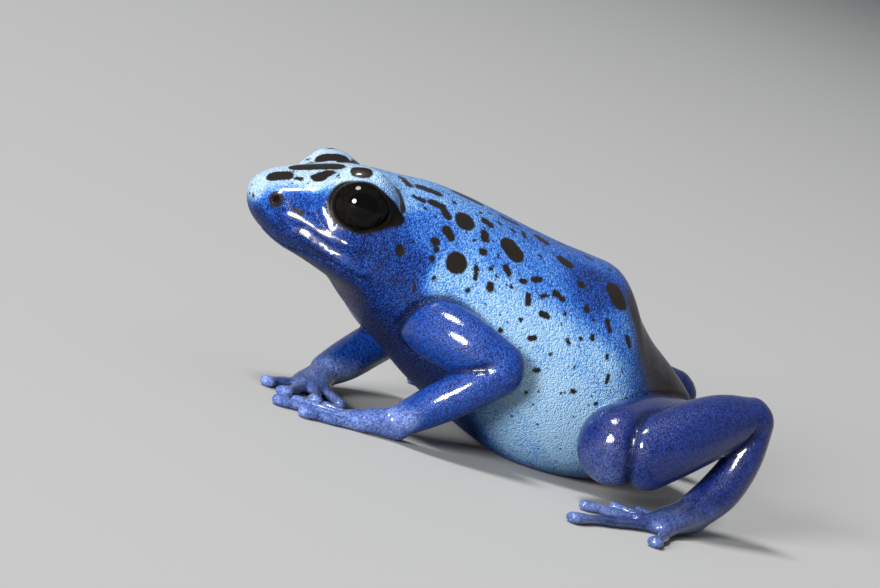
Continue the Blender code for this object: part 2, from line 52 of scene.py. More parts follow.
# One row for each section of the head and body, from the snout to the vent:
# top x, top z, bottom x, bottom z, half width, height share of the widest
# line, power of the upper half's curve, power of the lower half's curve.
BODY = (
    (-27.85, 15.50, -27.70, 14.35, 0.90, 0.50, 2.0, 2.0),
    (-27.45, 16.25, -27.15, 13.37, 2.05, 0.45, 2.2, 2.2),
    (-26.60, 16.95, -26.15, 12.52, 3.10, 0.39, 2.3, 2.3),
    (-25.05, 17.70, -24.49, 11.59, 4.20, 0.33, 2.25, 2.4),
    (-23.10, 18.45, -22.56, 11.09, 5.35, 0.30, 2.15, 2.5),
    (-21.00, 19.10, -20.53, 10.48, 6.55, 0.29, 2.1, 2.5),
    (-18.70, 19.50, -18.69, 9.77, 7.30, 0.33, 2.05, 2.4),
    (-16.26, 19.60, -17.02, 8.40, 7.25, 0.38, 2.0, 2.3),
    (-13.50, 19.80, -15.05, 7.10, 7.15, 0.40, 2.0, 2.2),
    (-10.40, 19.60, -12.60, 5.50, 7.55, 0.40, 2.0, 2.2),
    (-7.10, 19.10, -9.90, 3.85, 8.30, 0.40, 2.0, 2.2),
    (-3.80, 18.55, -6.80, 2.30, 8.95, 0.40, 2.0, 2.2),
    (-0.60, 18.10, -3.30, 0.75, 9.30, 0.40, 2.0, 2.3),
    (2.10, 17.85, 0.35, -0.25, 9.30, 0.40, 2.0, 2.4),
    (4.20, 17.55, 3.95, -0.30, 8.90, 0.40, 2.0, 2.4),
    (5.35, 16.70, 7.10, 0.10, 8.10, 0.41, 2.0, 2.3),
    (6.55, 15.05, 9.80, 1.25, 6.90, 0.44, 2.0, 2.2),
    (8.85, 12.90, 12.10, 3.10, 5.40, 0.47, 2.0, 2.1),
    (11.40, 11.20, 13.90, 5.20, 3.90, 0.50, 2.0, 2.0),
    (13.30, 9.80, 14.90, 6.90, 2.20, 0.50, 2.0, 2.0),
    (14.30, 8.95, 15.05, 7.70, 0.95, 0.50, 2.0, 2.0),
)
# Limbs: rows of x, distance from the middle plane, z, half width, half height
LEFT = {
    "upper_arm": ((-12.2, 4.9, 9.7, 2.35, 2.50), (-11.5, 6.9, 9.45, 2.45, 2.65),
                  (-9.4, 9.25, 9.05, 2.25, 2.50), (-6.7, 10.8, 8.5, 1.80, 1.95)),
    "forearm": ((-6.6, 10.9, 8.1, 1.80, 1.85), (-8.9, 10.5, 5.7, 1.75, 1.75),
                (-11.1, 9.6, 3.45, 1.60, 1.60), (-12.4, 8.5, 1.8, 1.30, 1.35)),
    "wrist": (-12.7, 8.2), "hand_turn": 10.0,
    "thigh": ((13.0, 2.6, 6.3, 2.60, 2.75), (10.6, 6.0, 6.1, 3.15, 3.25),
              (7.4, 9.8, 5.9, 3.30, 3.50), (3.7, 13.2, 5.3, 3.10, 3.35)),
    "shank": ((5.8, 14.7, 5.4, 2.40, 3.00), (7.6, 14.4, 6.7, 2.70, 2.90), (9.8, 13.8, 8.1, 2.60, 2.75),
              (12.1, 13.1, 9.3, 2.20, 2.45), (14.6, 12.5, 10.3, 1.60, 1.75)),
    "tarsus": ((15.0, 12.5, 10.0, 1.55, 1.60), (14.9, 12.8, 6.9, 1.55, 1.60),
               (13.85, 13.0, 4.0, 1.65, 1.75), (12.1, 13.5, 1.9, 1.55, 1.55)),
    "ankle": (11.8, 13.7), "foot_turn": -38.0,
}
RIGHT = {
    "upper_arm": ((-13.2, 4.9, 9.5, 2.70, 2.70), (-12.6, 6.9, 9.2, 2.70, 2.75),
                  (-10.7, 9.1, 7.7, 2.30, 2.50), (-8.4, 10.3, 6.1, 1.80, 1.95)),
    "forearm": ((-8.3, 10.4, 5.8, 1.80, 1.85), (-10.6, 9.1, 4.1, 1.80, 1.80),
                (-13.0, 7.2, 2.6, 1.70, 1.70), (-14.8, 5.6, 1.75, 1.40, 1.40)),
    "wrist": (-15.0, 5.4), "hand_turn": 57.0,
    "thigh": ((13.2, 2.6, 6.7, 2.90, 3.00), (11.2, 6.0, 6.2, 3.30, 3.40),
              (8.2, 9.8, 5.7, 3.30, 3.50), (4.7, 13.0, 5.2, 3.10, 3.35)),
    "shank": ((6.8, 14.4, 5.1, 2.40, 3.00), (8.8, 13.9, 5.9, 2.70, 3.05), (11.2, 13.0, 6.8, 2.60, 2.85),
              (14.3, 12.0, 7.2, 2.20, 2.45), (18.1, 11.0, 7.6, 1.60, 1.75)),
    "tarsus": ((18.6, 10.9, 7.3, 1.55, 1.60), (18.0, 11.8, 5.2, 1.55, 1.60),
               (15.7, 12.9, 3.3, 1.65, 1.75), (13.5, 13.9, 1.8, 1.55, 1.55)),
    "ankle": (13.2, 14.0), "foot_turn": -34.0,
}
# Palm and sole: forward, outward, z, half width, half height from the wrist or ankle
PALM = ((-0.2, 0.0, 1.35, 1.20, 1.35), (1.5, 0.0, 1.05, 1.40, 1.10),
        (3.0, 0.1, 0.75, 1.55, 0.85), (4.0, 0.1, 0.60, 1.30, 0.65))
SOLE = ((-0.2, 0.0, 1.55, 1.50, 1.50), (2.0, 0.0, 1.15, 1.55, 1.20),
        (4.2, 0.1, 0.85, 1.60, 0.95), (6.0, 0.1, 0.62, 1.30, 0.68))
# Fingers and toes: root forward, root outward, length, angle outwards, bend of the
# tip, half width of the disc
FINGERS = ((2.2, -0.9, 3.9, -46.0, 14.0, 0.55), (2.9, -0.5, 5.2, -19.0, 6.0, 0.68),
           (3.1, 0.2, 6.6, 0.0, 2.0, 0.78), (2.6, 0.8, 5.4, 21.0, -8.0, 0.70))
TOES = ((2.0, -0.9, 2.7, -100.0, 18.0, 0.45), (3.4, -0.9, 3.8, -80.0, 14.0, 0.52),
        (4.8, -0.8, 5.9, -42.0, 8.0, 0.60), (5.4, 0.1, 11.0, -10.0, 5.0, 0.70),
        (4.6, 0.9, 7.5, 24.0, -6.0, 0.68))
DIGIT_STEPS = 24
# The balls in the bends: name, the lengths above and below, radius
BENDS = (("elbow", "upper_arm", "forearm", 1.84), ("heel", "shank", "tarsus", 1.66))
# For each paw: where it starts, how it is turned, its own rows and its digits
PAWS = (("wrist", "hand_turn", PALM, FINGERS), ("ankle", "foot_turn", SOLE, TOES))

EYE_MIDDLE = (-20.12, 4.35, 16.80)
EYE_GAZE = (-0.22, 0.96, 0.12)
EYE_RADIUS = 2.55
BROW_RADIUS = 3.19
# How far the ball under each brow lies behind the eye's middle, and below it by side
BROW_DEPTH = 0.2
BROW_DROP = {-1: 0.02, 1: 0.30}
LID_OPENING = (2.72, 2.15)
LID_OPENING_DROP = 0.3
LID_MARGIN = 2.80
# How the opening widens with the depth along the gaze
CONE_DEPTHS = (0.0, 1.2, 2.2, 4.0)
CONE_WIDTHS = (0.72, 0.9, 1.0, 1.12)
# How far from the eye's middle the lids are shaped, and where the skin lies behind the eyeball
LID_REACH = 4.2
SOCKET_RADIUS = 2.25
# The black rim, in shares of the opening, and how much wider it is at both corners
LID_RIM = 1.07
FRONT_CORNER, REAR_CORNER = 0.10, 0.42
# The skin round the eyes stays as it is within the first distance when the rest is smoothed
EYE_CALM = (3.9, 5.0)
# A distance beyond all others
FAR = 9.0

# Lines of the left side of the head, as x, y, z on the skin
MOUTH = ((-26.13, 0.0, 12.5), (-25.75, -1.0, 12.35), (-25.0, -1.75, 12.0), (-24.0, -2.85, 11.86),
         (-23.3, -3.75, 12.0), (-22.42, -4.49, 12.09), (-21.55, -5.18, 12.24), (-20.25, -5.79, 12.24),
         (-18.69, -6.01, 12.06))
CANTHUS = ((-26.4, -2.8, 15.65), (-25.65, -3.2, 16.0), (-24.7, -3.5, 16.5), (-23.9, -3.8, 16.95),
           (-23.3, -4.3, 17.2))
LIP_RIDGE = ((-25.2, -3.8, 14.3), (-24.48, -4.29, 14.35), (-23.6, -4.8, 14.18), (-22.9, -5.2, 13.9),
             (-22.07, -5.6, 13.8), (-21.06, -6.0, 13.82), (-20.0, -6.3, 13.75))
LIP_EDGE = ((-24.6, -3.9, 13.2), (-23.6, -4.5, 13.1), (-23.07, -5.0, 12.85), (-22.52, -5.3, 12.72),
            (-21.65, -5.7, 12.55), (-20.5, -6.0, 12.5), (-19.0, -6.25, 12.4))
LOWER_LID = ((-23.2, -4.8, 15.97), (-22.8, -5.15, 15.46), (-22.15, -5.6, 14.97), (-21.4, -6.1, 14.7),
             (-20.9, -6.4, 14.65))
BROW = ((-22.1, -4.4, 19.2), (-21.3, -4.95, 19.5), (-20.4, -5.2, 19.65), (-19.6, -5.2, 19.7))
FOLD = ((-23.3, -4.8, 15.0), (-22.8, -5.3, 14.65), (-22.2, -5.7, 14.4), (-21.5, -6.1, 14.25))
HEAD_LINES = {"canthus": CANTHUS, "lip ridge": LIP_RIDGE, "lip edge": LIP_EDGE, "lower lid": LOWER_LID,
              "fold": FOLD, "brow": BROW, "mouth": MOUTH}
# Lines along which the skin is smooth and wet, beside the crests
WET_LINES = (
    ((-26.5, -3.0, 15.8), (-25.68, -3.28, 16.18), (-24.97, -3.45, 16.51), (-24.26, -3.6, 16.83),
     (-23.84, -3.75, 16.98)),
    ((-25.41, -4.0, 14.32), (-25.04, -4.2, 14.5), (-24.23, -4.67, 14.5), (-23.54, -5.08, 14.3),
     (-22.86, -5.55, 14.1), (-22.22, -6.06, 13.95), (-21.29, -6.75, 13.9)),
    ((-23.97, -4.8, 13.73), (-23.6, -4.97, 13.54), (-23.07, -5.27, 13.25), (-22.52, -5.67, 13.08),
     (-22.21, -5.92, 12.97), (-21.65, -6.34, 12.89), (-20.75, -6.85, 12.71), (-19.95, -7.14, 12.5),
     (-19.05, -7.2, 12.24)),
    ((-23.14, -5.07, 15.59), (-22.79, -5.41, 15.16), (-22.30, -5.81, 14.79), (-21.61, -6.23, 14.61)),
    ((-21.84, -4.89, 19.22), (-21.1, -5.47, 19.38), (-20.34, -5.66, 19.48)),
)
WET_HALF_WIDTH = 0.29
# How far the skin swells out along each line, and how widely
HEAD_SWELLS = {"canthus": (0.22, 0.95), "lip ridge": (0.22, 0.80), "lip edge": (0.36, 0.50),
               "lower lid": (0.16, 0.46), "fold": (-0.05, 0.34), "brow": (0.18, 0.55),
               "mouth": (-0.36, 0.14)}
# Under the eye the lip ridge swells more: where that starts, is full and ends, and how much
LIP_REAR = (-22.6, -20.3, -17.4)
LIP_REAR_SWELL = (0.22, 0.9)
CREASE_DEPTH = 0.17
NOSTRIL = (-26.49, -3.10, 15.2)
EARDRUM = (-16.66, -6.45, 14.45)
# The raised ring and the hollow of each: height, width and distance from the middle
NOSTRIL_FORMS = ((0.10, 0.16, 0.42), (-0.45, 0.2, 0.0))
EARDRUM_FORMS = ((0.05, 0.15, 0.62), (-0.14, 0.4, 0.0))
# How near to the small forms of the head the faces are made finer
FINE_LINES = {"mouth": 0.6, "canthus": 0.5, "lip ridge": 0.4}
FINE_NOSTRIL = 0.9
FINE_EYE, FINE_EYE_OUTWARD = 3.6, 4.6

# The black spots: both ends on the skin, or one place for a round spot, and the half width
SPOTS = (
    (-26.6, -1.2, 16.8, -25.9, -1.6, 17.1, 0.72), (-25.1, -2.3, 17.3, -24.9, -2.4, 17.3, 0.3),
    (-23.6, -2.6, 17.9, -22.7, -2.1, 18.4, 0.62), (-21.3, -5.0, 19.3, -20.9, -5.25, 19.4, 0.68),
    (-20.0, -2.1, 18.5, -19.4, -2.4, 18.7, 0.32), (-24.5, -0.2, 17.9, -21.9, -0.5, 18.8, 0.95),
    (-22.0, 2.9, 18.9, -20.3, 2.6, 19.5, 0.65), (-19.1, 3.0, 19.5, -18.8, 3.0, 19.5, 0.3),
    (-27.7, -0.9, 14.8, -27.7, -1.0, 14.7, 0.17), (-25.1, -3.9, 14.9, -24.5, -4.3, 14.9, 0.2),
    (-16.7, -6.3, 14.6, -16.6, -6.5, 14.3, 0.42), (-24.4, -3.0, 17.3, 0.12), (-23.5, -4.2, 16.7, 0.14),
    (-22.6, -4.2, 18.6, -22.7, -4.4, 18.5, 0.16), (-15.7, -6.3, 15.4, 0.14),
    (-17.7, -3.3, 17.9, -17.1, -5.1, 17.4, 0.36), (-20.5, -1.7, 17.7, -19.1, -2.4, 18.6, 0.36),
    (-11.3, -4.4, 18.0, 0.93), (-11.7, -6.7, 14.9, 0.93), (-7.2, -5.0, 17.2, -6.7, -5.4, 16.8, 0.85),
    (2.8, -4.8, 16.1, 3.2, -5.6, 15.5, 0.8), (-2.1, -4.0, 17.2, -1.5, -4.2, 17.1, 0.5),
    (-3.9, -2.3, 18.2, -3.4, -2.5, 18.1, 0.5), (-12.9, -5.4, 17.0, -12.5, -5.7, 16.6, 0.42),
    (-13.8, -6.1, 15.9, 0.42), (-13.6, -6.4, 15.4, 0.3), (-13.8, -6.6, 14.6, 0.28),
    (-14.2, -3.7, 18.5, -13.4, -3.9, 18.5, 0.4), (-13.3, -3.9, 18.5, -12.9, -4.5, 17.9, 0.38),
    (-15.1, -2.1, 19.3, -13.5, -2.5, 19.3, 0.4), (-15.8, -3.6, 18.6, -15.0, -3.8, 18.5, 0.25),
    (-16.3, -1.0, 19.5, -16.0, -2.3, 19.2, 0.34), (-11.3, -0.8, 19.6, -9.4, -1.0, 19.4, 0.5),
    (-9.4, -3.6, 18.4, -8.9, -3.8, 18.2, 0.4), (-9.5, -4.8, 17.5, -9.5, -5.1, 17.2, 0.4),
    (-7.5, -6.5, 15.6, -7.2, -6.7, 15.3, 0.33), (-7.3, -1.7, 18.9, -5.9, -1.6, 18.7, 0.32),
    (0.8, -1.5, 17.8, 1.2, -1.7, 17.7, 0.25), (-0.5, -5.6, 16.0, -0.4, -5.6, 15.9, 0.35),
    (-2.8, -6.9, 14.8, -2.2, -7.0, 14.5, 0.33), (-5.3, -7.5, 14.1, -5.2, -7.8, 13.6, 0.28),
    (-4.9, -6.6, 15.3, -4.4, -6.5, 15.5, 0.3), (-8.6, -7.4, 14.0, -8.5, -7.5, 13.8, 0.33),
    (-10.0, -6.8, 15.0, -9.9, -7.2, 14.2, 0.22), (-9.6, -6.0, 16.2, -9.5, -6.0, 16.3, 0.35),
    (-6.0, -6.9, 15.0, -5.8, -6.9, 15.0, 0.27), (-3.9, -8.0, 13.0, -3.4, -8.0, 13.0, 0.27),
    (0.1, -7.0, 14.3, 0.36), (0.9, -8.1, 12.4, 0.9, -8.1, 12.3, 0.24),
    (2.2, -7.1, 13.8, 2.4, -7.5, 13.3, 0.28), (-10.4, -5.5, 16.9, 0.15),
    (-9.7, -2.9, 18.8, -9.6, -2.8, 18.9, 0.13), (-8.7, -2.2, 19.0, -8.6, -2.3, 18.9, 0.15),
    (-7.9, -3.1, 18.5, -7.8, -3.2, 18.4, 0.2), (-6.7, -3.2, 18.3, -6.6, -3.3, 18.3, 0.2),
    (-5.6, -2.8, 18.3, -5.5, -3.3, 18.1, 0.22), (-14.0, -4.8, 17.7, 0.15), (-14.9, -4.4, 18.0, 0.17),
    (-12.1, -2.9, 19.1, -12.0, -3.0, 19.0, 0.2), (-13.2, -7.0, 13.3, -13.2, -7.0, 13.2, 0.2),
    (-10.4, -7.5, 13.1, -10.3, -7.5, 13.1, 0.2), (-14.6, -7.0, 12.3, -14.4, -7.0, 11.8, 0.2),
    (-8.8, -6.8, 15.2, -8.7, -6.7, 15.2, 0.2), (-6.8, -7.3, 14.4, 0.18),
    (-8.3, -7.0, 14.8, -8.2, -7.0, 14.8, 0.12), (-4.1, -7.4, 14.3, -3.7, -7.2, 14.4, 0.2),
    (-1.8, -7.7, 13.6, 0.18), (-5.6, -8.3, 12.2, 0.2), (-7.0, -8.5, 10.9, -7.0, -8.5, 10.8, 0.23),
    (-4.4, -8.8, 11.0, -4.1, -8.7, 11.1, 0.22), (-2.0, -8.1, 12.7, 0.12), (-0.1, -8.4, 12.0, 0.17),
    (-1.2, -8.5, 11.7, -1.1, -8.6, 11.5, 0.22), (-0.1, -8.6, 11.4, 0.1), (-2.4, -9.0, 10.3, 0.15),
    (-0.1, -9.1, 9.8, -0.1, -9.1, 9.7, 0.13), (-3.3, -9.2, 8.7, -3.0, -9.2, 8.8, 0.22),
    (2.6, -8.4, 11.3, 2.6, -8.4, 11.2, 0.2), (3.1, -8.7, 9.8, 3.1, -8.8, 9.4, 0.22),
    (0.3, -9.3, 7.9, 0.5, -9.3, 7.9, 0.22), (2.7, -9.1, 7.4, 0.18), (-3.4, -9.1, 6.8, 0.12),
    (-0.6, -9.3, 7.5, 0.12), (-1.4, -8.8, 4.5, 0.12), (4.3, -7.2, 13.0, 4.5, -7.3, 12.5, 0.28),
    (0.8, -7.4, 13.7, 0.14), (-0.7, -7.7, 13.5, 0.12), (-4.3, -4.7, 17.1, 0.2),
    (-1.4, -1.0, 18.1, -1.2, -0.9, 18.1, 0.2), (2.9, -2.4, 17.4, 0.2),
    (-8.2, -5.9, 16.3, -8.2, -6.0, 16.3, 0.12), (-8.8, -5.1, 17.2, -8.7, -5.1, 17.2, 0.1),
)
# How pale the blue is at some places of the left side, and how much darker it is there, partly the skin's
# own colour and partly painted shade below
TONES = (
    (-27.6, -1.0, 15.6, 0.95, 0.0), (-25.4, -0.8, 17.5, 1.0, 0.0), (-21.5, -1.0, 18.9, 0.95, 0.0),
    (-19.5, -4.6, 19.8, 0.9, 0.0), (-16.0, -1.5, 19.3, 0.85, 0.0), (-17.2, -3.9, 18.3, 0.85, 0.0),
    (-26.2, -3.2, 14.9, 0.2, 0.0), (-24.8, -4.05, 15.4, 0.2, 0.0), (-25.0, -3.8, 16.1, 0.2, 0.0),
    (-24.0, -3.5, 17.2, 1.0, 0.0), (-24.3, -4.3, 14.2, 0.13, 0.1),
    (-25.0, -3.2, 17.0, 1.0, 0.0), (-26.6, -1.5, 13.2, 0.1, 0.5), (-22.6, -5.1, 13.1, 0.12, 0.3),
    (-26.2, -2.7, 16.2, 0.9, 0.0), (-25.9, -3.2, 15.6, 0.3, 0.0), (-23.9, -4.3, 16.2, 0.16, 0.0),
    (-23.5, -3.2, 17.9, 1.0, 0.0), (-22.3, -4.4, 18.8, 0.95, 0.0), (-25.6, -3.5, 14.0, 0.12, 0.0),
    (-23.3, -5.2, 13.6, 0.06, 0.0), (-21.8, -5.9, 13.7, 0.07, 0.0), (-19.0, -6.7, 14.6, 0.13, 0.0),
    (-17.6, -6.5, 15.9, 0.14, 0.0), (-18.0, -4.9, 18.3, 0.85, 0.0), (-15.0, -6.8, 13.9, 0.2, 0.0),
    (-20.5, -6.3, 13.8, 0.13, 0.0), (-17.4, -7.0, 13.1, 0.17, 0.0), (-15.9, -6.9, 12.7, 0.18, 0.0),
    (-16.5, -6.2, 15.6, 0.3, 0.0), (-15.1, -6.0, 16.1, 0.5, 0.0), (-14.1, -2.3, 19.2, 0.75, 0.0),
    (-12.5, -6.9, 13.4, 0.88, 0.0), (-10.2, -7.2, 13.9, 0.85, 0.0), (1.0, -4.4, 16.9, 0.2, 0.15),
    (-11.1, -3.1, 18.9, 0.72, 0.0), (-9.0, -5.5, 16.9, 0.6, 0.0),
    (-7.4, -8.1, 12.4, 0.95, 0.0), (-3.6, -8.8, 11.1, 1.0, 0.0), (-4.4, -5.9, 16.2, 0.58, 0.0),
    (-3.8, -2.2, 18.2, 0.5, 0.0), (0.2, -9.2, 5.4, 1.1, 0.0), (-1.5, -9.1, 7.0, 1.1, 0.0),
    (-3.0, -8.0, 2.5, 0.95, 0.0),
    (1.3, -8.9, 9.9, 0.95, 0.0), (1.2, -5.4, 15.9, 0.2, 0.15), (1.0, -2.5, 17.6, 0.5, 0.0),
    (3.9, -6.7, 13.9, 0.55, 0.25), (7.0, -5.2, 13.0, 0.4, 0.75), (9.0, -4.0, 11.0, 0.3, 0.85),
    (-18.9, -3.6, 10.3, 0.05, 1.0), (-22.5, -2.0, 10.9, 0.05, 0.95), (-15.5, -3.0, 7.2, 0.1, 1.0),
    (-14.5, -6.3, 10.5, 0.2, 0.3), (-11.0, -4.5, 4.8, 0.2, 0.9), (-6.0, -3.0, 1.9, 0.35, 0.6),
    (0.0, 0.0, 0.0, 0.5, 0.5), (12.5, 0.0, 5.0, 0.2, 0.9), (14.5, 0.0, 8.5, 0.2, 1.0),
)
RUMP_PATCH = ((5.9, -4.2, 14.6), (7.2, -4.9, 12.6), (9.3, -4.6, 10.4), (11.0, -1.5, 9.0))
# The right side's spots are the left's, moved and resized at random, but for those that
# start nearer to the middle than this
SPOT_MIDDLE = -1.4
SPOT_SHIFT = 0.8
SPOT_RESIZE = (0.85, 1.2)
# Half widths of the painted shade, in black, along the mouth's groove and in the nostril's hole
MOUTH_GROOVE_SHADE, NOSTRIL_HOLE_SHADE = 0.09, 0.30
# Behind this the limbs are told from the body by distance; before it only the low hand is limb
NECK_X, HAND_TOP = -17.0, 3.0
# The paler blue of tips, hands and feet: limits of distance, of x, of height and of y
TIP_REACH = (0.3, 6.0)
HAND_X, HAND_Z, HAND_SHARE = (11.2, 12.6), (2.2, 3.6), 0.9
FOOT_X, FOOT_Z, FOOT_Y, FOOT_SHARE = 3.0, (1.4, 3.6), 11.5, 0.4
FOLDING = ("upper_arm", "forearm", "thigh", "shank", "tarsus")

rng = np.random.default_rng(7)


# Shapes drawn out of a ball


def smooth_rows(rows, count, places):
    """Rows read evenly from a smooth curve through the given rows."""
    rows = np.array(rows, float)
    steps = np.linalg.norm(np.diff(rows[:, :places], axis=0), axis=1)
    at = np.concatenate(([0.0], np.cumsum(steps)))
    slopes = np.gradient(rows, at, axis=0)
    wanted = np.linspace(0.0, at[-1], count)
    k = np.clip(np.searchsorted(at, wanted, side="right") - 1, 0, len(at) - 2)
    span = (at[k + 1] - at[k])[:, None]
    t = (wanted - at[k])[:, None] / span
    return (
        (2 * t**3 - 3 * t**2 + 1) * rows[k]
        + (t**3 - 2 * t**2 + t) * span * slopes[k]
        + (3 * t**2 - 2 * t**3) * rows[k + 1]
        + (t**3 - t**2) * span * slopes[k + 1]
    )


def ring(middle, side, up, half_width, rise, drop, powers, sides):
    turn = 2 * np.pi * np.arange(sides) / sides
    across, height = np.cos(turn), np.sin(turn)
    power = np.where(height > 0, powers[0], powers[1])
    across = np.sign(across) * np.abs(across) ** (2 / power)
    height = np.sign(height) * np.abs(height) ** (2 / power) * np.where(height > 0, rise, drop)
    return middle + np.outer(half_width * across, side) + np.outer(height, up)


def draw_out(name, rings, first, last):
    """A ball whose rings are moved, one after another, to the given rings."""
    count, sides = len(rings), len(rings[0])
    bpy.ops.object.select_all(action="DESELECT")
    bpy.ops.mesh.primitive_uv_sphere_add(segments=sides, ring_count=count + 1, radius=1.0)
    made = bpy.context.object
    made.name = name
    ball = points_of(made)
    level = np.rint(np.arccos(np.clip(ball[:, 2], -1, 1)) / np.pi * (count + 1)).astype(int)
    turn = np.rint(np.arctan2(ball[:, 1], ball[:, 0]) / (2 * np.pi) * sides).astype(int) % sides
    table = np.concatenate(([[first] * sides], rings, [[last] * sides]))
    set_points(made, table[level, turn])
    bpy.ops.object.mode_set(mode="EDIT")
    bpy.ops.mesh.select_all(action="SELECT")
    bpy.ops.mesh.normals_make_consistent(inside=False)
    bpy.ops.object.mode_set(mode="OBJECT")
    return made


def points_of(item):
    places = np.empty(len(item.data.vertices) * 3, np.float32)
    item.data.vertices.foreach_get("co", places)
    return places.reshape(-1, 3).astype(float)


def normals_of(item):
    found = np.empty(len(item.data.vertices) * 3, np.float32)
    item.data.vertices.foreach_get("normal", found)
    return found.reshape(-1, 3).astype(float)


def set_points(item, places):
    item.data.vertices.foreach_set("co", np.asarray(places, np.float32).ravel())
    item.data.update()


def body():
    rings = []
    for top_x, top_z, low_x, low_z, half_width, share, upper, lower in smooth_rows(BODY, 96, 4):
        top, low = np.array((top_x, 0.0, top_z)), np.array((low_x, 0.0, low_z))
        tall = np.linalg.norm(top - low)
        up = (top - low) / tall
        rings.append(ring(low + up * tall * share, (0.0, 1.0, 0.0), up, half_width,
                          tall * (1 - share), tall * share, (upper, lower), 72))
    first, last = BODY[0], BODY[-1]
    nose = (first[0] - 0.12, 0.0, (first[1] + first[3]) / 2)
    vent = (last[2] + 0.25, 0.0, (last[1] + last[3]) / 2 - 0.2)
    return draw_out("body", rings, nose, vent)


def limb(name, rows, count=26, sides=28):
    """A round length through rows of x, y, z, half width and half height."""
    rows = smooth_rows(rows, count, 3)
    middles = rows[:, :3]
    along = np.gradient(middles, axis=0)
    along /= np.linalg.norm(along, axis=1)[:, None]
    side = np.cross(along[0], (0.0, 0.0, 1.0))
    if np.linalg.norm(side) < 0.3:
        side = np.cross(along[0], (1.0, 0.0, 0.0))
    frames = []
    for direction in along:
        side = side - direction * side.dot(direction)
        side /= np.linalg.norm(side)
        frames.append((side, np.cross(side, direction)))
    turns = np.radians((78.0, 62.0, 46.0, 30.0, 15.0))
    start, end = min(rows[0, 3:5]), min(rows[-1, 3:5])
    steps = [(0, -start * math.sin(t), math.cos(t)) for t in turns]
    steps += [(i, 0.0, 1.0) for i in range(count)]
    steps += [(count - 1, end * math.sin(t), math.cos(t)) for t in turns[::-1]]
    rings = [
        ring(middles[i] + along[i] * shift, *frames[i], rows[i, 3] * scale, rows[i, 4] * scale,
             rows[i, 4] * scale, (2.0, 2.0), sides)
        for i, shift, scale in steps
    ]
    return draw_out(name, rings, middles[0] - along[0] * start, middles[-1] + along[-1] * end)


def lump(name, middle, radius):
    bpy.ops.object.select_all(action="DESELECT")
    bpy.ops.mesh.primitive_uv_sphere_add(segments=32, ring_count=20, radius=radius, location=middle)
    bpy.ops.object.transform_apply(location=True, rotation=True, scale=True)
    bpy.context.object.name = name
    return bpy.context.object


def on_side(rows, side):
    return [(row[0], side * row[1], *row[2:]) for row in rows]


def heading(origin, turn, side):
    """Turns forward, outward and height at a wrist or ankle into the frog's own places."""
    turn = math.radians(turn)
    forward = np.array((-math.cos(turn), -side * math.sin(turn), 0.0))
    outward = np.array((-math.sin(turn), side * math.cos(turn), 0.0))
    start = np.array((origin[0], side * origin[1], 0.0))
    def place(row):
        spot = start + forward * row[0] + outward * row[1] + np.array((0.0, 0.0, row[2]))
        return (*spot, *row[3:])

    return place


def digit(name, place, root_forward, root_outward, length, angle, bend, disc):
    """A finger or toe with its knuckles, and a disc at the tip."""
    rows = []
    x, y = root_forward, root_outward
    for share in np.linspace(0.0, 1.0, DIGIT_STEPS + 1):
        root = max(0.0, 1.0 - share / 0.35)
        knuckle = 0.05 * math.cos(share * 4 * math.pi)
        spread = (disc - 0.5) * rise(share, 0.76, 0.92)
        half_width = 0.47 + 0.2 * root + knuckle + spread
        half_height = 0.45 + 0.12 * root + knuckle * 0.6
        rows.append(place((x, y, 0.44 + 0.12 * root, half_width, half_height)))
        x += length / DIGIT_STEPS * math.cos(math.radians(angle + bend * share))
        y += length / DIGIT_STEPS * math.sin(math.radians(angle + bend * share))
    return limb(name, rows, 30, 18)


def limbs(sizes, side):
    """Every length of the arm and leg of one side."""
    made = [limb(name, on_side(sizes[name], side)) for name in FOLDING]
    for name, upper, lower, radius in BENDS:
        middle = np.add(sizes[upper][-1][:3], sizes[lower][0][:3]) / 2 * (1, side, 1)
        made.append(lump(name, middle, radius))
    for start, turn, paw, digits in PAWS:
        place = heading(sizes[start], sizes[turn], side)
        made.append(limb("paw", [place(row) for row in paw]))
        made += [digit("digit", place, *row) for row in digits]
    return made


def eye_axes(side):
    gaze = np.array(EYE_GAZE) * (1, side, 1)
    gaze /= np.linalg.norm(gaze)
    along = np.array((1.0, 0.0, 0.0)) - gaze * gaze[0]
    along /= np.linalg.norm(along)
    return np.array(EYE_MIDDLE) * (1, side, 1), gaze, along, np.cross(gaze, along) * -side


def select_only(items):
    bpy.ops.object.select_all(action="DESELECT")
    for item in items:
        item.select_set(True)
    bpy.context.view_layer.objects.active = items[0]


def join(items, name):
    select_only(items)
    bpy.ops.object.join()
    items[0].name = name
    return items[0]


def apply_all(item):
    select_only([item])
    for modifier in list(item.modifiers):
        bpy.ops.object.modifier_apply(modifier=modifier.name)


def soften(item, factor, repeats, weights=None):
    """Smooths the mesh, only where the weights say so if they are given."""
    modifier = item.modifiers.new("soften", "SMOOTH")
    modifier.factor = factor
    modifier.iterations = repeats
    if weights is not None:
        group = item.vertex_groups.new(name="soft")
        for level in range(1, 11):
            chosen = np.flatnonzero(np.rint(weights * 10) == level)
            group.add(chosen.tolist(), level / 10, "REPLACE")
        modifier.vertex_group = group.name
    apply_all(item)
    item.vertex_groups.clear()


def tree_of(item):
    faces = [tuple(face.vertices) for face in item.data.polygons]
    return BVHTree.FromPolygons([tuple(place) for place in points_of(item)], faces)


def away_from(tree, places):
    return np.array([tree.find_nearest(Vector(p))[3] for p in places])


def rise(value, low, high):
    """0 below low and 1 above high, with a soft step between."""
    t = np.clip((value - low) / (high - low), 0.0, 1.0)
    return t * t * (3 - 2 * t)


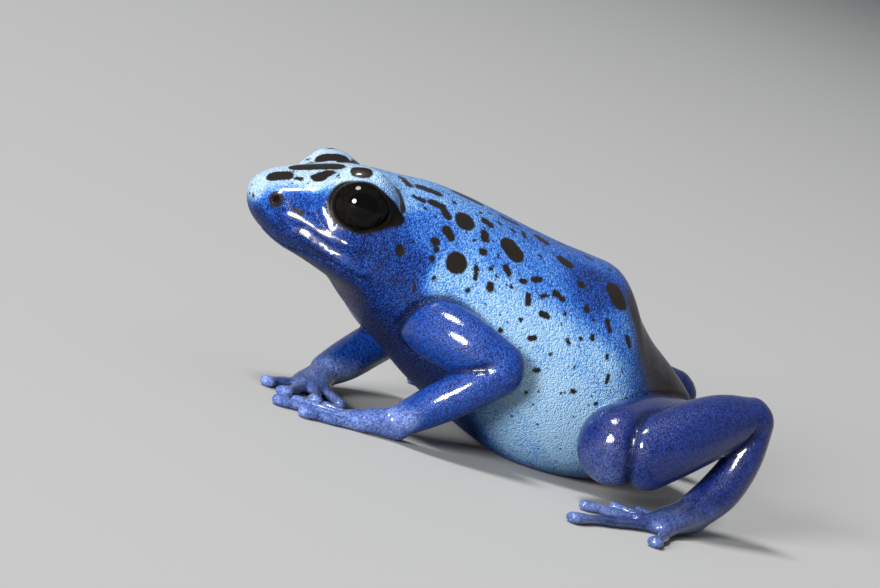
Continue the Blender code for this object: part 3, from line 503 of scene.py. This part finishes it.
def from_line(places, line):
    """How far each place is from a line through points."""
    line = np.array(line, float)
    nearest = np.full(len(places), 1e9)
    for a, b in zip(line, line[1:]):
        ab = b - a
        t = np.clip((places - a) @ ab / max(ab @ ab, 1e-12), 0.0, 1.0)
        nearest = np.minimum(nearest, np.linalg.norm(places - a - t[:, None] * ab, axis=1))
    return nearest


def laid_on(tree, line):
    """Points taken closely along a line and laid on the surface."""
    close = []
    for a, b in zip(np.array(line), np.array(line[1:])):
        close += [a + (b - a) * share for share in np.linspace(0.0, 1.0, 6)[:-1]]
    close.append(np.array(line[-1]))
    return np.array([tree.find_nearest(Vector(point))[0] for point in close])


def bulge(away, height, width, middle=0.0):
    """A soft swelling over the distance from a point or line, highest at the middle distance."""
    return height * np.exp(-(((away - middle) / width) ** 2))


def to_left(places):
    """The same places on the left side."""
    return np.where((places[:, 1] < 0)[:, None], places, places * (1, -1, 1))


def to_eyes(places):
    """How far each place is from the middle of the nearer eye."""
    return np.minimum(*(np.linalg.norm(places - eye_axes(side)[0], axis=1) for side in (-1, 1)))


def crease_of(places):
    """1 at the bottom of a fold between two surfaces that meet at an angle, 0 away from it."""
    found = [[tree.find_nearest(Vector(place)) for place in places] for tree in folds]
    away = np.array([[one[3] for one in row] for row in found])
    facing = np.array([[one[1] for one in row] for row in found])
    order = np.argsort(away, axis=0)[:2]
    each = np.arange(len(places))
    second = away[order[1], each]
    turned = 1.0 - np.einsum("ij,ij->i", facing[order[0], each], facing[order[1], each])
    return (1.0 - rise(second, 0.12, 0.50)) * rise(turned, 0.08, 0.40)


def shape_lids(places):
    """Opens the skin over both eyes, and says how far each place lies outside the black rims."""
    outside = np.full(len(places), FAR)
    for side in (-1, 1):
        middle, gaze, along, upward = eye_axes(side)
        off = places - middle
        depth = off @ gaze
        reach = np.linalg.norm(off, axis=1)
        cone = np.interp(depth, CONE_DEPTHS, CONE_WIDTHS)
        lengthwise = off @ along / (LID_OPENING[0] * cone)
        height = (off @ upward + LID_OPENING_DROP) / (LID_OPENING[1] * cone)
        rear = np.clip(lengthwise, 0.0, 1.3)
        ellipse = np.hypot(lengthwise - 0.10 * rear**2, height * (1 + 0.35 * rear**2))
        ellipse[(depth < 0) | (reach > LID_REACH)] = FAR
        corners = FRONT_CORNER * rise(-lengthwise, 0.3, 1.0) + bulge(
            height, REAR_CORNER * rise(lengthwise, 0.3, 1.0), 0.5, 0.2)
        outside = np.minimum(outside, ellipse - LID_RIM - corners)
        margin = LID_MARGIN + (reach - LID_MARGIN) * rise(ellipse, 1.02, 1.36)
        wanted = SOCKET_RADIUS + (margin - SOCKET_RADIUS) * rise(ellipse, 0.95, 1.05)
        inside = ellipse < 1.4
        places[inside] = middle + off[inside] * (wanted / reach)[inside, None]
    return outside


# Skin

base = [body()]
for side in (-1, 1):
    middle, gaze, _, _ = eye_axes(side)
    drop = np.array((0, 0, BROW_DROP[side]))
    base.append(lump("brow", middle - gaze * BROW_DEPTH - drop, BROW_RADIUS))
flesh = limbs(LEFT, -1) + limbs(RIGHT, 1)
# The surfaces that meet in creases
folding = [item for item in flesh if item.name.split(".")[0] in FOLDING]
folds = [tree_of(item) for item in (base[0], *folding)]
limb_flesh = join(flesh, "limbs")
limbs_only = tree_of(limb_flesh)
skin = join([*base, limb_flesh], "skin")
remesh = skin.modifiers.new("remesh", "REMESH")
remesh.mode = "VOXEL"
remesh.voxel_size = SKIN_GRID
apply_all(skin)
soften(skin, 0.5, 3)
soften(skin, 0.5, 26, 1.0 - rise(to_eyes(points_of(skin)), *EYE_CALM))

# Finer faces where the small forms of the head are
surface = tree_of(skin)
head_lines = {name: laid_on(surface, line) for name, line in HEAD_LINES.items()}
nostril, eardrum = (np.array(surface.find_nearest(Vector(place))[0]) for place in (NOSTRIL, EARDRUM))
places = points_of(skin)
left_places = to_left(places)
fine = (to_eyes(places) < FINE_EYE) & (np.abs(places[:, 1]) > FINE_EYE_OUTWARD)
fine |= np.linalg.norm(left_places - nostril, axis=1) < FINE_NOSTRIL
for name, reach in FINE_LINES.items():
    fine |= from_line(left_places, head_lines[name]) < reach
bpy.ops.object.mode_set(mode="EDIT")
bpy.ops.mesh.select_all(action="DESELECT")
bpy.ops.object.mode_set(mode="OBJECT")
skin.data.vertices.foreach_set("select", fine)
bpy.ops.object.mode_set(mode="EDIT")
bpy.ops.mesh.select_mode(type="VERT")
bpy.ops.mesh.subdivide(number_cuts=1, smoothness=0.0)
bpy.ops.object.mode_set(mode="OBJECT")

places, normals = points_of(skin), normals_of(skin)
left_places = to_left(places)
creased = crease_of(places)
swell = -CREASE_DEPTH * creased
for name, (height, width) in HEAD_SWELLS.items():
    swell += bulge(from_line(left_places, head_lines[name]), height, width)
start, full, end = LIP_REAR
rearwards = rise(places[:, 0], start, full) * (1.0 - rise(places[:, 0], full, end))
height, width = LIP_REAR_SWELL
swell += bulge(from_line(left_places, head_lines["lip ridge"]), height * rearwards, width)
to_nostril = np.linalg.norm(left_places - nostril, axis=1)
to_eardrum = np.linalg.norm(left_places - eardrum, axis=1)
swell += sum(bulge(to_nostril, *form) for form in NOSTRIL_FORMS)
swell += sum(bulge(to_eardrum, *form) for form in EARDRUM_FORMS)
places += normals * swell[:, None]
lid_black = shape_lids(places)
places[:, 2] = np.maximum(places[:, 2], 0.0)
set_points(skin, places)

select_only([skin])
bpy.ops.object.shade_smooth()


# Markings, kept on the skin as one number for each point


def keep(name, values):
    attribute = skin.data.attributes.new(name, "FLOAT", "POINT")
    attribute.data.foreach_set("value", np.asarray(values, np.float32))


places, normals = points_of(skin), normals_of(skin)
left_places = to_left(places)
surface = tree_of(skin)


def on_skin(place):
    return np.array(surface.find_nearest(Vector(place))[0])


spots = [(np.array(row[:3]), np.array(row[-4:-1]), row[-1]) for row in SPOTS]
for start, end, half_width in list(spots):
    if start[1] < SPOT_MIDDLE:
        shift = rng.uniform(-SPOT_SHIFT, SPOT_SHIFT, 3)
        far = [on_skin(end_place * (1, -1, 1) + shift) for end_place in (start, end)]
        spots.append((far[0], far[1], half_width * rng.uniform(*SPOT_RESIZE)))
to_spot = np.full(len(places), FAR)
spot_offset, spot_size = np.full((len(places), 3), FAR), np.zeros(len(places))
nearest_spot = np.zeros(len(places), int)
for number, (start, end, half_width) in enumerate(spots):
    start, end = on_skin(start), on_skin(end)
    length = end - start
    share = np.clip((places - start) @ length / max(length @ length, 1e-9), 0.0, 1.0)
    offset = places - start - share[:, None] * length
    away = np.linalg.norm(offset, axis=1) - half_width
    nearer = away < to_spot
    to_spot[nearer], spot_offset[nearer], spot_size[nearer] = away[nearer], offset[nearer], half_width
    nearest_spot[nearer] = number
# Where the nearest spot changes between two points, its offset can't be mixed
edges = np.empty(len(skin.data.edges) * 2, np.int32)
skin.data.edges.foreach_get("vertices", edges)
edges = edges.reshape(-1, 2)
clear = np.ones(len(places))
clear[edges[nearest_spot[edges[:, 0]] != nearest_spot[edges[:, 1]]]] = 0.0
keep("clear", clear)
keep("spot", to_spot)
keep("spot_size", spot_size)
offsets = skin.data.attributes.new("spot_offset", "FLOAT_VECTOR", "POINT")
offsets.data.foreach_set("vector", spot_offset.astype(np.float32).ravel())
# Black lid rims, and painted shade in black along the mouth's groove and in the nostril's hole
black = np.minimum(lid_black * 2.4, from_line(left_places, head_lines["mouth"]) - MOUTH_GROOVE_SHADE)
keep("black", np.minimum(black, to_nostril - NOSTRIL_HOLE_SHADE))
keep("lid", 1.0 - rise(lid_black, -0.04, 0.10))

# Wet along its lines, and dull below and on the rest of the face
to_wet = [from_line(left_places, laid_on(surface, line)) for line in WET_LINES]
wet = np.max([np.exp(-((away / WET_HALF_WIDTH) ** 4)) for away in to_wet], axis=0)
wet = wet * rise(normals[:, 2], -0.55, -0.10)
keep("wet", wet)
face = rise(-places[:, 0], 18.3, 20.3)
keep("dull", np.maximum(1.0 - rise(normals[:, 2], -0.75, -0.02), face * (1.0 - wet)))

# Above zero on the limbs and below it on the body
past_root = np.clip(away_from(folds[0], places) - away_from(limbs_only, places), -1.0, 1.0)
before_neck = np.where(places[:, 2] < HAND_TOP, 1.0, -1.0)
keep("past_root", np.where(places[:, 0] > NECK_X, past_root, before_neck))
# Where the creases are: they get painted shade and no wet film
keep("crease", creased)

tones = np.array(TONES)
gap = np.linalg.norm(left_places[:, None, :] - tones[None, :, :3], axis=2)
weight = 1.0 / (gap**4 + 0.3)
weight /= weight.sum(axis=1)[:, None]
pale = weight @ tones[:, 3]
keep("pale", pale)
# Darker tone: partly the skin's own colour, partly painted shade on throat and belly
keep("dusky_and_shade", weight @ tones[:, 4])
keep("milky", rise(-places[:, 0], 17.0, 21.5) * rise(pale, 0.62, 0.95))
around_nostril = 1.0 - rise(to_nostril, 0.45, 0.75)
rump = 1.0 - rise(from_line(left_places, RUMP_PATCH), 0.4, 3.6)
keep("brown", np.maximum(rump, 0.8 * around_nostril))

tips, bends = [], []
for sizes, side in ((LEFT, -1), (RIGHT, 1)):
    bends += [on_side([sizes[name][-1]], side)[0][:3] for name in ("upper_arm", "shank")]
    for start, turn, _, digits in PAWS:
        place = heading(sizes[start], sizes[turn], side)
        for root_forward, root_outward, length, angle, bend, _ in digits:
            way = math.radians(angle + bend / 2)
            tips.append(place((root_forward + length * math.cos(way),
                               root_outward + length * math.sin(way), 0.4)))
to_tip, to_bend = (np.min([np.linalg.norm(places - point, axis=1) for point in points], axis=0)
                   for points in (tips, bends))
hand = rise(-places[:, 0], *HAND_X) * (1.0 - rise(places[:, 2], *HAND_Z))
foot = (places[:, 0] > FOOT_X) * (1.0 - rise(places[:, 2], *FOOT_Z)) * (np.abs(places[:, 1]) > FOOT_Y)
paw = np.maximum(HAND_SHARE * hand, FOOT_SHARE * foot)
keep("tip", np.maximum(1.0 - rise(to_tip, *TIP_REACH), paw))
keep("joint_back", (1.0 - rise(to_bend, 1.0, 2.6)) * rise(normals[:, 0], 0.3, 0.95))
keep("arm", rise(-places[:, 0], 3.0, 6.0))


# Eyes


def eyeball(side):
    """A ball with its pole on the gaze, a little fuller at the front."""
    middle, gaze, along, across = eye_axes(side)
    bpy.ops.object.select_all(action="DESELECT")
    bpy.ops.mesh.primitive_uv_sphere_add(segments=64, ring_count=48, radius=EYE_RADIUS)
    ball = bpy.context.object
    ball.name = "eyeball_left" if side < 0 else "eyeball_right"
    ball.data.transform(Vector(gaze).to_track_quat("Z", "Y").to_matrix().to_4x4())
    places = points_of(ball)
    front = rise(places @ gaze / EYE_RADIUS, 0.45, 1.0)
    oval = np.hypot(places @ along / 1.2, places @ across / 1.0)
    attribute = ball.data.attributes.new("from_pupil", "FLOAT", "POINT")
    attribute.data.foreach_set("value", np.where(places @ gaze > 0, oval, FAR).astype(np.float32))
    set_points(ball, places * (1 + 0.02 * front)[:, None] + middle)
    bpy.ops.object.shade_smooth()
    return ball


eyes = {side: eyeball(side) for side in (-1, 1)}

# Materials

# Colours as linear red, green and blue; a ramp's stops go from deep to pale
BLUES = (
    (0.0, (0.0004, 0.0055, 0.044)), (0.22, (0.0009, 0.025, 0.17)), (0.5, (0.015, 0.086, 0.33)),
    (0.75, (0.080, 0.195, 0.40)), (0.97, (0.195, 0.315, 0.44)),
)
# Darker blues: partly the skin's own colour, partly painted shade on throat and belly
DUSK_AND_SHADE_BLUES = ((0.1, (0.003, 0.004, 0.015)), (0.9, (0.013, 0.016, 0.052)))
ARM_BLUES = ((0.1, (0.0012, 0.008, 0.062)), (0.9, (0.009, 0.050, 0.26)))
LEG_BLUES = ((0.1, (0.0016, 0.004, 0.034)), (0.9, (0.010, 0.024, 0.14)))
PAW_BLUES = ((0.1, (0.042, 0.070, 0.24)), (0.9, (0.20, 0.275, 0.48)))
MILK = (0.33, 0.41, 0.45, 1.0)
BEND_BROWN = (0.018, 0.012, 0.022, 1.0)
# Painted shade for the creases and for the lines where limbs leave the body
CREASE_SHADE_BLUE = (0.0014, 0.0035, 0.020, 1.0)
RUMP_BROWN = (0.021, 0.0140, 0.0155, 1.0)
RUMP_BLACK = (0.0035, 0.0028, 0.0030, 1.0)
SPECK_BLUE = (0.0020, 0.0075, 0.035, 1.0)
# Black of the spots, also used as painted shade in the mouth's groove and the nostril's hole
SPOT_AND_SHADE_BLACK = (0.0072, 0.0044, 0.0029, 1.0)
LID_BLACK = (0.0026, 0.0019, 0.0015, 1.0)
IRIS = ((0.3, (0.0012, 0.0010, 0.0009)), (0.75, (0.0050, 0.0034, 0.0022)))
PUPIL_BLACK = (0.0008, 0.0008, 0.001, 1.0)
EYE_RIM = (0.002, 0.0015, 0.0015, 1.0)
# The grain in the skin and its print in the wet film: socket, strength, height in metres
# and the place of the node
RELIEFS = (("Normal", 0.9, 0.00011, -400), ("Coat Normal", 0.15, 0.00006, -800))


def material(name, roughness, **sockets):
    made = bpy.data.materials.new(name)
    made.use_nodes = True
    shader = made.node_tree.nodes["Principled BSDF"]
    shader.inputs["Roughness"].default_value = roughness
    for socket, value in sockets.items():
        shader.inputs[socket.replace("_", " ")].default_value = value
    return made, made.node_tree, shader


def feed(tree, node, socket, value):
    """Links an output to a socket, or sets the socket to a plain value."""
    if isinstance(value, bpy.types.NodeSocket):
        tree.links.new(value, node.inputs[socket])
    else:
        node.inputs[socket].default_value = value


def add(tree, kind, place, inputs=(), **settings):
    """A node with its settings, its plain numbers and its links."""
    made = tree.nodes.new("ShaderNode" + kind)
    made.location = place
    for key, value in settings.items():
        setattr(made, key, value)
    for socket, value in dict(inputs).items():
        feed(tree, made, socket, value)
    return made


def read(tree, name, place):
    return add(tree, "Attribute", place, attribute_name=name).outputs["Fac"]


def maths(tree, operation, first, second, place):
    return add(tree, "Math", place, {0: first, 1: second}, operation=operation).outputs[0]


def times(tree, first, second, place):
    return maths(tree, "MULTIPLY", first, second, place)


def plus(tree, first, second, place):
    return maths(tree, "ADD", first, second, place)


def blend(tree, share, below, above, place):
    """One colour over another."""
    return add(tree, "Mix", place, {0: share, 6: below, 7: above}, data_type="RGBA").outputs[2]


def step_of(tree, value, low, high, to_low, to_high, place):
    return add(tree, "MapRange", place, {0: value, 1: low, 2: high, 3: to_low, 4: to_high}).outputs[0]


def ramp_of(tree, value, stops, place):
    made = add(tree, "ValToRGB", place, {0: value})
    ramp = made.color_ramp
    while len(ramp.elements) < len(stops):
        ramp.elements.new(0.5)
    for element, (at, colour) in zip(ramp.elements, stops):
        element.position = at
        element.color = (*colour, 1.0)
    return made.outputs[0]


def noise(tree, where, scale, detail, place):
    return add(tree, "TexNoise", place, {"Vector": where, "Scale": scale, "Detail": detail}).outputs[0]


def cells(tree, where, scale, place):
    """The distance from the middle of each small cell, and a random number for each."""
    made = add(tree, "TexVoronoi", place, {"Vector": where, "Scale": scale})
    split = add(tree, "SeparateColor", (place[0] + 200, place[1] + 100), {0: made.outputs["Color"]})
    return made.outputs["Distance"], split.outputs[0]


def swing(tree, wave, size, place):
    """A noise brought around zero and scaled."""
    centred = maths(tree, "SUBTRACT", wave, 0.5, (place[0] - 200, place[1]))
    return times(tree, centred, size, place)


def trunk_colour(tree, speckle, grain, broad):
    """The blues of head and body, milky on the crown and darker below, partly the skin's own colour and
    partly painted shade.
    """
    pale = plus(tree, read(tree, "pale", (-1400, 600)),
                 times(tree, speckle, 0.6, (-700, 300)), (-550, 400))
    pale = plus(tree, pale, swing(tree, broad, 0.3, (-1000, -400)), (-400, 400))
    milk = step_of(tree, speckle, -0.35, 0.25, 0.35, 0.95, (-200, 500))
    milk = times(tree, read(tree, "milky", (-200, 600)), milk, (0, 600))
    blue = blend(tree, milk, ramp_of(tree, pale, BLUES, (-200, 400)), MILK, (0, 450))
    # Darker below: partly the skin's own colour, partly painted shade
    dusky_and_shade = times(tree, read(tree, "dusky_and_shade", (-400, 900)), 0.85, (-200, 900))
    return blend(tree, dusky_and_shade, blue, ramp_of(tree, grain, DUSK_AND_SHADE_BLUES, (-200, 700)), (100, 500))


def limb_colour(tree, grain, broad):
    """The deep blues of arms and legs, with paler paws and brown behind the bends."""
    arms = ramp_of(tree, grain, ARM_BLUES, (-200, -100))
    legs = ramp_of(tree, grain, LEG_BLUES, (-200, -400))
    paws = ramp_of(tree, grain, PAW_BLUES, (-200, -1400))
    deep = blend(tree, read(tree, "arm", (-200, -600)), legs, arms, (100, -200))
    patchy = step_of(tree, broad, 0.35, 0.65, 0.45, 0.95, (-200, -1200))
    tip = times(tree, read(tree, "tip", (-200, -800)), patchy, (0, -800))
    deep = blend(tree, tip, deep, paws, (300, -200))
    bend = times(tree, read(tree, "joint_back", (-200, -1000)), 0.5, (0, -1000))
    return blend(tree, bend, deep, BEND_BROWN, (450, -200))


def paint_crease_shade(tree, colour, past_root):
    """Painted shade: darker in the creases and along the lines where limbs leave the body."""
    root_shade_line = maths(tree, "ABSOLUTE", past_root, 0.0, (200, 1000))
    root_shade_line = step_of(tree, root_shade_line, 0.05, 0.22, 0.75, 0.0, (400, 1000))
    crease = times(tree, read(tree, "crease", (450, 900)), 0.9, (650, 900))
    crease = maths(tree, "MAXIMUM", crease, root_shade_line, (750, 1000))
    return blend(tree, crease, colour, CREASE_SHADE_BLUE, (850, 300))


def brown_rump(tree, colour, broad):
    """Brown on the rump and round the nostrils, blotched with black in the middle."""
    brown = read(tree, "brown", (450, 1100))
    share = step_of(tree, brown, 0.0, 0.55, 0.0, 0.96, (650, 1100))
    colour = blend(tree, share, colour, RUMP_BROWN, (950, 300))
    blotch = step_of(tree, brown, 0.45, 0.95, 0.0, 0.95, (650, 1200))
    patchy = step_of(tree, broad, 0.45, 0.51, 0.25, 1.0, (450, 1300))
    return blend(tree, times(tree, blotch, patchy, (850, 1200)), colour, RUMP_BLACK, (1050, 300))


def add_specks(tree, colour, where, fray, limb):
    """Small specks scattered over the paler blue of head and body."""
    away, chosen = cells(tree, where, 1300.0, (450, 2800))
    near = plus(tree, away, swing(tree, fray, 0.35, (750, 2700)), (850, 2800))
    speck = times(tree, step_of(tree, near, 0.10, 0.19, 0.85, 0.0, (950, 2800)),
                  step_of(tree, chosen, 0.40, 0.50, 0.0, 1.0, (950, 3000)), (1050, 2900))
    on_pale = step_of(tree, read(tree, "pale", (950, 3200)), 0.40, 0.65, 0.0, 1.0, (1050, 3200))
    speck = times(tree, speck, on_pale, (1150, 3000))
    off_limbs = maths(tree, "SUBTRACT", 1.0, limb, (1050, 3400))
    return blend(tree, times(tree, speck, off_limbs, (1250, 3000)), colour, SPECK_BLUE, (1200, 300))


def in_spots_and_shade(tree, where, fray):
    """1 inside the black spots, whose edges are frayed, and in the other black lines: the lid rims and the
    painted shade along the mouth's groove and in the nostril's hole.
    """
    size = read(tree, "spot_size", (450, 2400))
    wander = noise(tree, where, 1500.0, 2.0, (450, 1500))
    fraying = step_of(tree, size, 0.15, 0.8, 0.42, 0.14, (650, 2000))
    frayed = plus(tree, swing(tree, wander, 0.30, (850, 1500)),
                   swing(tree, fray, fraying, (850, 1800)), (1050, 1600))
    offset = add(tree, "Attribute", (450, 2200), attribute_name="spot_offset").outputs["Vector"]
    reach = add(tree, "VectorMath", (650, 2200), {0: offset}, operation="LENGTH").outputs["Value"]
    edge = maths(tree, "SUBTRACT", reach, size, (850, 2200))
    clear, mixed = read(tree, "clear", (650, 2500)), read(tree, "spot", (650, 2600))
    edge = add(tree, "Mix", (950, 2200), {0: clear, 2: mixed, 3: edge}).outputs[0]
    edge = plus(tree, edge, frayed, (1050, 2200))
    edge = maths(tree, "MINIMUM", edge, read(tree, "black", (1050, 2400)), (1250, 2200))
    return step_of(tree, edge, 0.09, -0.07, 0.0, 1.0, (1350, 1500))


def skin_relief(tree, shader, height, wet, limb, dark, lid):
    """The grain as relief: less where the skin is wet, on limbs and in black spots."""
    dry = step_of(tree, wet, 0.0, 0.7, 1.0, 0.0, (1000, -900))
    dry = times(tree, dry, step_of(tree, limb, 0.0, 1.0, 1.0, 0.5, (1000, -700)), (1100, -900))
    smooth = maths(tree, "MAXIMUM", lid, times(tree, dark, 0.65, (1050, -1050)), (1100, -1050))
    dry = times(tree, dry, maths(tree, "SUBTRACT", 1.0, smooth, (1100, -1000)), (1150, -900))
    for socket, share, distance, y in RELIEFS:
        strength = times(tree, dry, share, (1200, y - 200))
        relief = add(tree, "Bump", (1300, y), {"Strength": strength, "Distance": distance, "Height": height})
        tree.links.new(relief.outputs[0], shader.inputs[socket])


def skin_gloss(tree, shader, wet, limb, lid):
    """The wet film: fuller on wet lines and limbs, none in creases and on dull skin."""
    coat = step_of(tree, read(tree, "crease", (1300, -1400)), 0.0, 0.6, 0.55, 0.0, (1500, -1400))
    coat = plus(tree, coat, times(tree, wet, 0.45, (1500, -1200)), (1600, -1300))
    coat = plus(tree, coat, times(tree, limb, 0.3, (1500, -1000)), (1650, -1200))
    dull = times(tree, read(tree, "dull", (1300, -1800)), 0.93, (1400, -1700))
    glossy = maths(tree, "SUBTRACT", 1.0, maths(tree, "MAXIMUM", lid, dull, (1450, -1600)), (1500, -1600))
    feed(tree, shader, "Coat Weight", times(tree, coat, glossy, (1700, -1400)))
    feed(tree, shader, "Roughness", step_of(tree, limb, 0.0, 1.0, 0.42, 0.28, (1100, -1200)))


def frog_skin():
    made, tree, shader = material("frog_skin", 0.3, Specular_IOR_Level=0.10, Coat_Roughness=0.12,
                                  Coat_IOR=1.45)
    where = add(tree, "TexCoord", (-1800, 0)).outputs["Object"]
    away, cell = cells(tree, where, 6800.0, (-1600, 200))
    fine = noise(tree, where, 8200.0, 3.0, (-1600, -100))
    broad = noise(tree, where, 420.0, 2.0, (-1600, -400))
    fray = noise(tree, where, 4800.0, 2.0, (450, 1800))
    # A speckle around zero
    speckle = plus(tree, times(tree, cell, 0.5, (-1200, 300)),
                    times(tree, fine, 1.1, (-1200, 100)), (-1000, 200))
    speckle = maths(tree, "SUBTRACT", speckle, times(tree, away, 0.6, (-1000, 0)), (-850, 200))
    speckle = maths(tree, "SUBTRACT", speckle, 0.58, (-700, 200))
    grain = plus(tree, speckle, 0.5, (-700, 700))

    past_root = read(tree, "past_root", (0, 900))
    limb = step_of(tree, past_root, -0.02, 0.14, 0.0, 1.0, (300, 700))
    trunk = trunk_colour(tree, speckle, grain, broad)
    colour = blend(tree, limb, trunk, limb_colour(tree, grain, broad), (650, 300))
    # Painted shade in the creases and where the limbs leave the body
    colour = paint_crease_shade(tree, colour, past_root)
    colour = brown_rump(tree, colour, broad)
    colour = add_specks(tree, colour, where, fray, limb)
    # Black spots and lid rims, and painted shade in the mouth's groove and the nostril's hole
    dark = in_spots_and_shade(tree, where, fray)
    colour = blend(tree, dark, colour, SPOT_AND_SHADE_BLACK, (1300, 300))
    lid = read(tree, "lid", (1300, 2600))
    feed(tree, shader, "Base Color", blend(tree, lid, colour, LID_BLACK, (1450, 300)))

    height = plus(tree, times(tree, away, -1.0, (900, -300)),
                   times(tree, fine, 0.7, (900, -500)), (1100, -400))
    wet = read(tree, "wet", (900, -1000))
    skin_relief(tree, shader, height, wet, limb, dark, lid)
    skin_gloss(tree, shader, wet, limb, lid)
    return made


def dark_eye():
    made, tree, shader = material("dark_eye", 0.03)
    where = add(tree, "TexCoord", (-1200, 0)).outputs["Object"]
    fibres = noise(tree, where, 2600.0, 4.0, (-1000, -100))
    from_pupil = read(tree, "from_pupil", (-1000, 300))
    edge = plus(tree, from_pupil, times(tree, fibres, 0.08, (-800, 200)), (-600, 300))
    pupil = step_of(tree, edge, 1.02, 1.1, 0.0, 1.0, (-400, 300))
    rim = step_of(tree, edge, 1.9, 2.3, 0.0, 1.0, (-400, 600))
    colour = blend(tree, pupil, PUPIL_BLACK, ramp_of(tree, fibres, IRIS, (-700, -100)), (-200, 100))
    feed(tree, shader, "Base Color", blend(tree, rim, colour, EYE_RIM, (0, 100)))
    gloss = step_of(tree, from_pupil, 1.0, 2.2, 0.14, 0.02, (-200, -400))
    feed(tree, shader, "Specular IOR Level", gloss)
    return made


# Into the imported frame

into_frame = Matrix.Scale(MM, 4) @ Matrix.Translation(FROG_PLACE)
for piece in (skin, *eyes.values()):
    piece.data.transform(into_frame)
skin.data.materials.clear()
skin.data.materials.append(frog_skin())
eye_material = dark_eye()
flesh_nodes = [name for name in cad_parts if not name.startswith("eye_")]
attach(skin, "root")
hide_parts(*flesh_nodes)
for side, name in ((-1, "eye_left"), (1, "eye_right")):
    eyes[side].data.materials.append(eye_material)
    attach(eyes[side], "root")
    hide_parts(name)

# Floor, light and camera

bpy.ops.object.select_all(action="DESELECT")
bpy.ops.mesh.primitive_plane_add(size=12.0, location=(0.0, 0.0, 0.0))
floor = bpy.context.object
floor.name = "floor"
pale_floor = material("pale_floor", 0.75, Base_Color=(0.30, 0.30, 0.295, 1.0), Specular_IOR_Level=0.2)[0]
floor.data.materials.append(pale_floor)

# The camera's own axes: to its right, upwards and back towards it
RIGHTWARDS = Vector((0.89694, -0.30180, 0.32314))
UPWARDS = Vector((-0.26265, 0.22425, 0.93847))
BACKWARDS = Vector((-0.35570, -0.92662, 0.12187))
CAMERA_PLACE = Vector((-0.117765, -0.291997, 0.049650))
LAMP_TARGET = Vector((-0.002, 0.0, 0.010))
SKY = (0.90, 0.94, 1.0, 1.0)

bpy.ops.object.camera_add(location=CAMERA_PLACE)
camera = bpy.context.object
camera.rotation_euler = Matrix((RIGHTWARDS, UPWARDS, BACKWARDS)).transposed().to_euler()
camera.data.lens = 158.4
camera.data.sensor_width = 36.0
camera.data.clip_start = 0.01
bpy.context.scene.camera = camera


def soft_light(name, right, up, back, distance, size, watts):
    """A soft round lamp, placed as seen from the camera and turned to the frog."""
    towards = (RIGHTWARDS * right + UPWARDS * up + BACKWARDS * back).normalized()
    bpy.ops.object.light_add(type="AREA", location=LAMP_TARGET + towards * distance)
    lamp = bpy.context.object
    lamp.name = name
    lamp.rotation_euler = towards.to_track_quat("Z", "Y").to_euler()
    lamp.data.shape = "DISK"
    lamp.data.size = size
    lamp.data.energy = watts


soft_light("key", -0.33, 0.25, 0.91, 3.0, 0.85, 190.0)
soft_light("top", -0.1, 1.0, 0.45, 3.0, 0.85, 115.0)
world = bpy.context.scene.world or bpy.data.worlds.new("studio")
bpy.context.scene.world = world
world.use_nodes = True
background = world.node_tree.nodes["Background"]
background.inputs["Color"].default_value = SKY
background.inputs["Strength"].default_value = 0.30
bpy.context.scene.view_settings.view_transform = "Standard"
